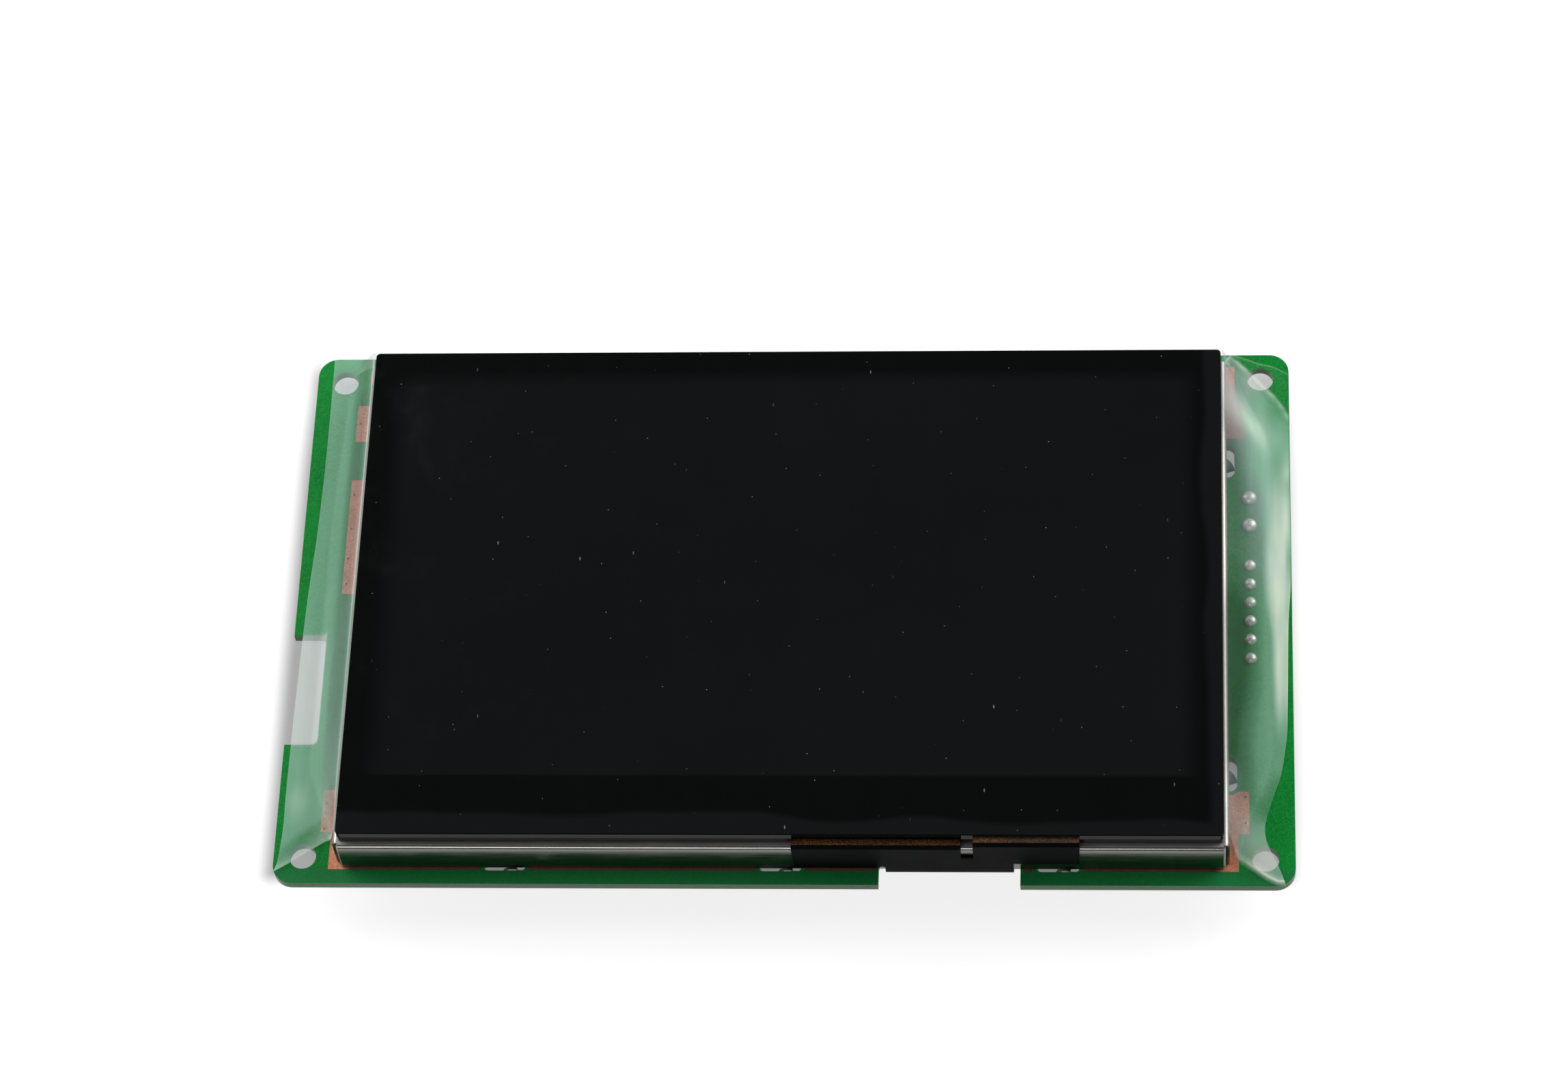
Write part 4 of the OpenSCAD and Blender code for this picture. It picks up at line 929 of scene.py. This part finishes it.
def header_tracks(tracks):
    """From the cable header and the signal header inwards, each to a via."""
    via_r = 0.3
    cable_x = box_mm("cable_header")[1].x
    for i in range(5):
        start = (cable_x, 0.2 + 1.9 * i)
        end = (cable_x + 19, start[1] - 8.2 - 0.8 * i)
        tracks.line(jog(start, end, cable_x + 3 + 0.6 * i, 0))
        tracks.ring((end[0] + via_r, end[1]), via_r, 0.2, 16)
    signal_x = box_mm("signal_header")[0].x
    ways, pitch = 6, 2.54
    for i in range(ways):
        start = (signal_x, pitch * (i - (ways - 1) / 2))
        end = (signal_x - 22, start[1] - 5.6 - 1.3 * i)
        tracks.line(jog(start, end, signal_x - 3 - 0.6 * i, 0))
        tracks.ring((end[0] - via_r, end[1]), via_r, 0.2, 16)


def supply_tracks(tracks):
    """Wide tracks from the power header's two pins to the inductor, the capacitor and the memory chip."""
    coil_low, coil_high = box_mm("power_inductor")
    can = box_mm("bulk_capacitor_base")
    memory_back = box_mm("memory_chip")[1].y
    can_x, can_back = middle_of(can, 0), can[1].y
    tracks.line([(can_x, coil_low.y), (can_x, can_back)], 2)
    tracks.line([(56, 16.1), (49, 16.1), (47.5, 17.6), (coil_high.x, 17.6)], 1.6)
    tracks.line([(56, 11.9), (50, 11.9), (46.7, 8.6), (43.3, 8.6), (43.3, can_back)], 1)
    tracks.line([(coil_low.x, 17), (15, 17), (12, 14), (12, memory_back)], 1)


def edge_vias(tracks):
    """A row of vias along the board's front and back edge."""
    for side in (-1, 1):
        for i in range(12):
            place = (-49.5 + 9 * i, side * (30.6 + 0.8 * random.random()))
            tracks.ring(place, 0.3, 0.2, 16)


def rear_tracks(materials):
    """Tracks and vias below the solder mask, from part to part."""
    tracks = Relief(TRACK_T)
    chip_tracks(tracks)
    header_tracks(tracks)
    supply_tracks(tracks)
    edge_vias(tracks)
    mesh = tracks.make_piece("rear_tracks", "solder_mask", materials)
    draw_on(mesh, "track", [1.0] * len(tracks.points))


def rear_print(materials):
    """White printed outlines of the parts, without any lettering."""
    ink = Relief(INK_T)
    for name in ("memory_chip", "crystal", "power_inductor", "cable_header", "signal_header"):
        ink.frame(box_mm(name))
    ink.corners(box_mm("controller_chip"), 2)
    for name in ("lcd_flex_socket", "touch_flex_socket", "bulk_capacitor_base"):
        ink.corners(box_mm(name), 0.5)
    # a line on both long sides of each chip part
    beside = 0.3
    for low, high in islands("capacitors") + islands("resistors"):
        if long_axis(low, high) == 0:
            for y in (low.y - beside, high.y + beside):
                ink.line([(low.x + beside, y), (high.x - beside, y)], 0.14)
        else:
            for x in (low.x - beside, high.x + beside):
                ink.line([(x, low.y + beside), (x, high.y - beside)], 0.14)
    for x in (-HOLE_X, HOLE_X):
        for y in (-HOLE_Y, HOLE_Y):
            ink.ring((x, y), 2.7, INK_W, 40)
    # a dot at the controller's first lead
    chip_low, chip_high = box_mm("controller_chip")
    ink.ring((chip_low.x - 1.6, chip_high.y + 1.4), 0.2, 0.3, 16)
    ink.make_piece("rear_print", "white_plastic", materials)


def block(made, low, high):
    """Adds a block between two corners."""
    size = (high - low) * MM
    place = Matrix.Translation((low + high) / 2 * MM) @ Matrix.Diagonal((*size, 1))
    bmesh.ops.create_cube(made, size=1, matrix=place)


def tinned_ends(materials):
    """The tinned ends of the chip parts, each on its pad."""
    coat, rim, toe = 0.03, 0.12, 0.3
    made = bmesh.new()
    for name, share in (("capacitors", 0.2), ("resistors", 0.17)):
        for low, high in islands(name):
            axis = long_axis(low, high)
            end = (high[axis] - low[axis]) * share
            for way in (-1, 1):
                foot, top = low.copy(), high.copy()
                if way > 0:
                    foot[axis] = high[axis] - end
                else:
                    top[axis] = low[axis] + end
                block(made, foot - Vector((coat, coat, coat)), top + Vector((coat, coat, -PAD_T)))
                pad_low, pad_high = foot - Vector((rim, rim, 0)), top + Vector((rim, rim, 0))
                outer = pad_high if way > 0 else pad_low
                outer[axis] += way * toe
                pad_low.z = -PAD_T
                block(made, pad_low, pad_high)
    bmesh.ops.bevel(made, geom=made.edges[:], offset=coat * MM, segments=2, affect="EDGES")
    mesh = bpy.data.meshes.new("tinned_ends")
    made.to_mesh(mesh)
    made.free()
    add_piece("tinned_ends", mesh, "tinned_metal", materials, smooth=False)


# ---------- stage ----------

WHITE = (1, 1, 1, 1)
FLOOR_GREY = (0.36, 0.36, 0.36, 1)
FLOOR_HALF = 3000
# the lower glow below the module is a painted shadow
FLOOR_GLOW = 0.64       # what the open floor glows with, over what it glows with below the module
FLOOR_LEAST = 0.14
# Levels of the studio from the horizon up to the zenith, before and behind the module
SKY_FRONT = [(0.0, 0.3), (0.3, 0.26), (0.62, 0.2), (1.0, 0.14)]
SKY_BACK = [(0.0, 0.8), (0.3, 0.5), (0.62, 0.05), (1.0, 0.04)]
# Lamps: name, place in metres, width, height and power
LAMPS = [
    ("back_left_soft", (-0.8, 0.5, 0.7), 1.0, 1.0, 12),
    ("back_right_soft", (0.8, 0.55, 0.7), 0.95, 0.95, 12),
    ("front_fill", (-0.2, -0.9, 0.75), 0.5, 0.4, 3),
]


def make_floor():
    """White floor. Right below the module its glow is painted lower, a painted shadow, so there it mostly
    shows the light that gets there.
    """
    p = Paint("floor", roughness=0.9, base_color=FLOOR_GREY, specular_ior_level=0.0)
    path = p.node("ShaderNodeLightPath")
    seen = p.math("MAXIMUM", path.outputs["Is Camera Ray"],
                  p.math("MAXIMUM", path.outputs["Is Glossy Ray"], path.outputs["Is Transmission Ray"]))
    x, y = p.axis("X"), p.axis("Y")
    out_x = p.math("MAXIMUM", p.step(x, BOARD_HIGH.x - 2, BOARD_HIGH.x + 1.5),
                   p.step(x, BOARD_LOW.x - 1.2, BOARD_LOW.x - 4))
    # in the notch before the tail the open floor reaches further under the board, so the painted shadow
    # there is smaller
    from_tail = p.math("ABSOLUTE", p.math("SUBTRACT", x, TAIL_X))
    ahead = p.math("ADD", y, p.step(from_tail, 8.5, 10.5, -4.5, 0))
    out_y = p.math("MAXIMUM", p.step(y, BOARD_HIGH.y + 1, BOARD_HIGH.y + 7),
                   p.step(ahead, BOARD_LOW.y + 6, BOARD_LOW.y + 3))
    squares = [p.math("MULTIPLY", out, out) for out in (out_x, out_y)]
    open_floor = p.math("SQRT", p.math("ADD", *squares, clamp=True))
    level = p.math("ADD", p.math("MULTIPLY", open_floor, FLOOR_GLOW), FLOOR_LEAST)
    p.set(emission_color=WHITE, emission_strength=p.math("MULTIPLY", seen, level))
    corners = [(-1, -1), (1, -1), (1, 1), (-1, 1)]
    points = [(FLOOR_HALF * a, FLOOR_HALF * b, FLOOR_Z) for a, b in corners]
    mesh = mesh_from("floor", points, [(0, 1, 2, 3)])
    floor = bpy.data.objects.new("floor", mesh)
    mesh.materials.append(p.material)
    bpy.context.scene.collection.objects.link(floor)


def make_world():
    """White where the camera looks past the floor; else a studio, pale near the floor and dark above."""
    world = bpy.data.worlds.new("studio")
    bpy.context.scene.world = world
    world.use_nodes = True
    w = Tree(world.node_tree)
    way = w.node("ShaderNodeSeparateXYZ")
    w.feed(way.inputs[0], w.node("ShaderNodeTexCoord").outputs["Generated"])

    def sky(stops):
        ramp = w.node("ShaderNodeValToRGB")
        w.feed(ramp.inputs["Fac"], way.outputs["Z"])
        points = ramp.color_ramp.elements
        while len(points) < len(stops):
            points.new(0.5)
        for point, (where, level) in zip(points, stops):
            point.position = where
            point.color = (level, level, level, 1)
        return ramp.outputs["Color"]

    path = w.node("ShaderNodeLightPath")
    seen = w.math("MAXIMUM", path.outputs["Is Camera Ray"], path.outputs["Is Transmission Ray"])
    studio = w.mix(w.step(way.outputs["Y"], -0.15, 0.36), sky(SKY_FRONT), sky(SKY_BACK))
    background = w.node("ShaderNodeBackground")
    w.feed(background.inputs["Color"], w.mix(seen, studio, WHITE))
    w.feed(w.node("ShaderNodeOutputWorld").inputs[0], background.outputs[0])


def make_lights():
    """Soft lamps that face the module."""
    for name, place, width, height, power in LAMPS:
        data = bpy.data.lights.new(name, "AREA")
        data.shape = "RECTANGLE"
        data.size = width
        data.size_y = height
        data.energy = power
        light = bpy.data.objects.new(name, data)
        bpy.context.scene.collection.objects.link(light)
        light.location = place
        light.rotation_euler = (-Vector(place)).to_track_quat("-Z", "Y").to_euler()
        light.visible_camera = False


make_camera()
MATERIALS = make_materials()
dress_nodes(MATERIALS)
film_sheet(MATERIALS)
solder_domes(MATERIALS)
pad_vias(MATERIALS)
rear_tracks(MATERIALS)
rear_print(MATERIALS)
tinned_ends(MATERIALS)
make_floor()
make_world()
make_lights()
bpy.context.scene.view_settings.view_transform = "Standard"
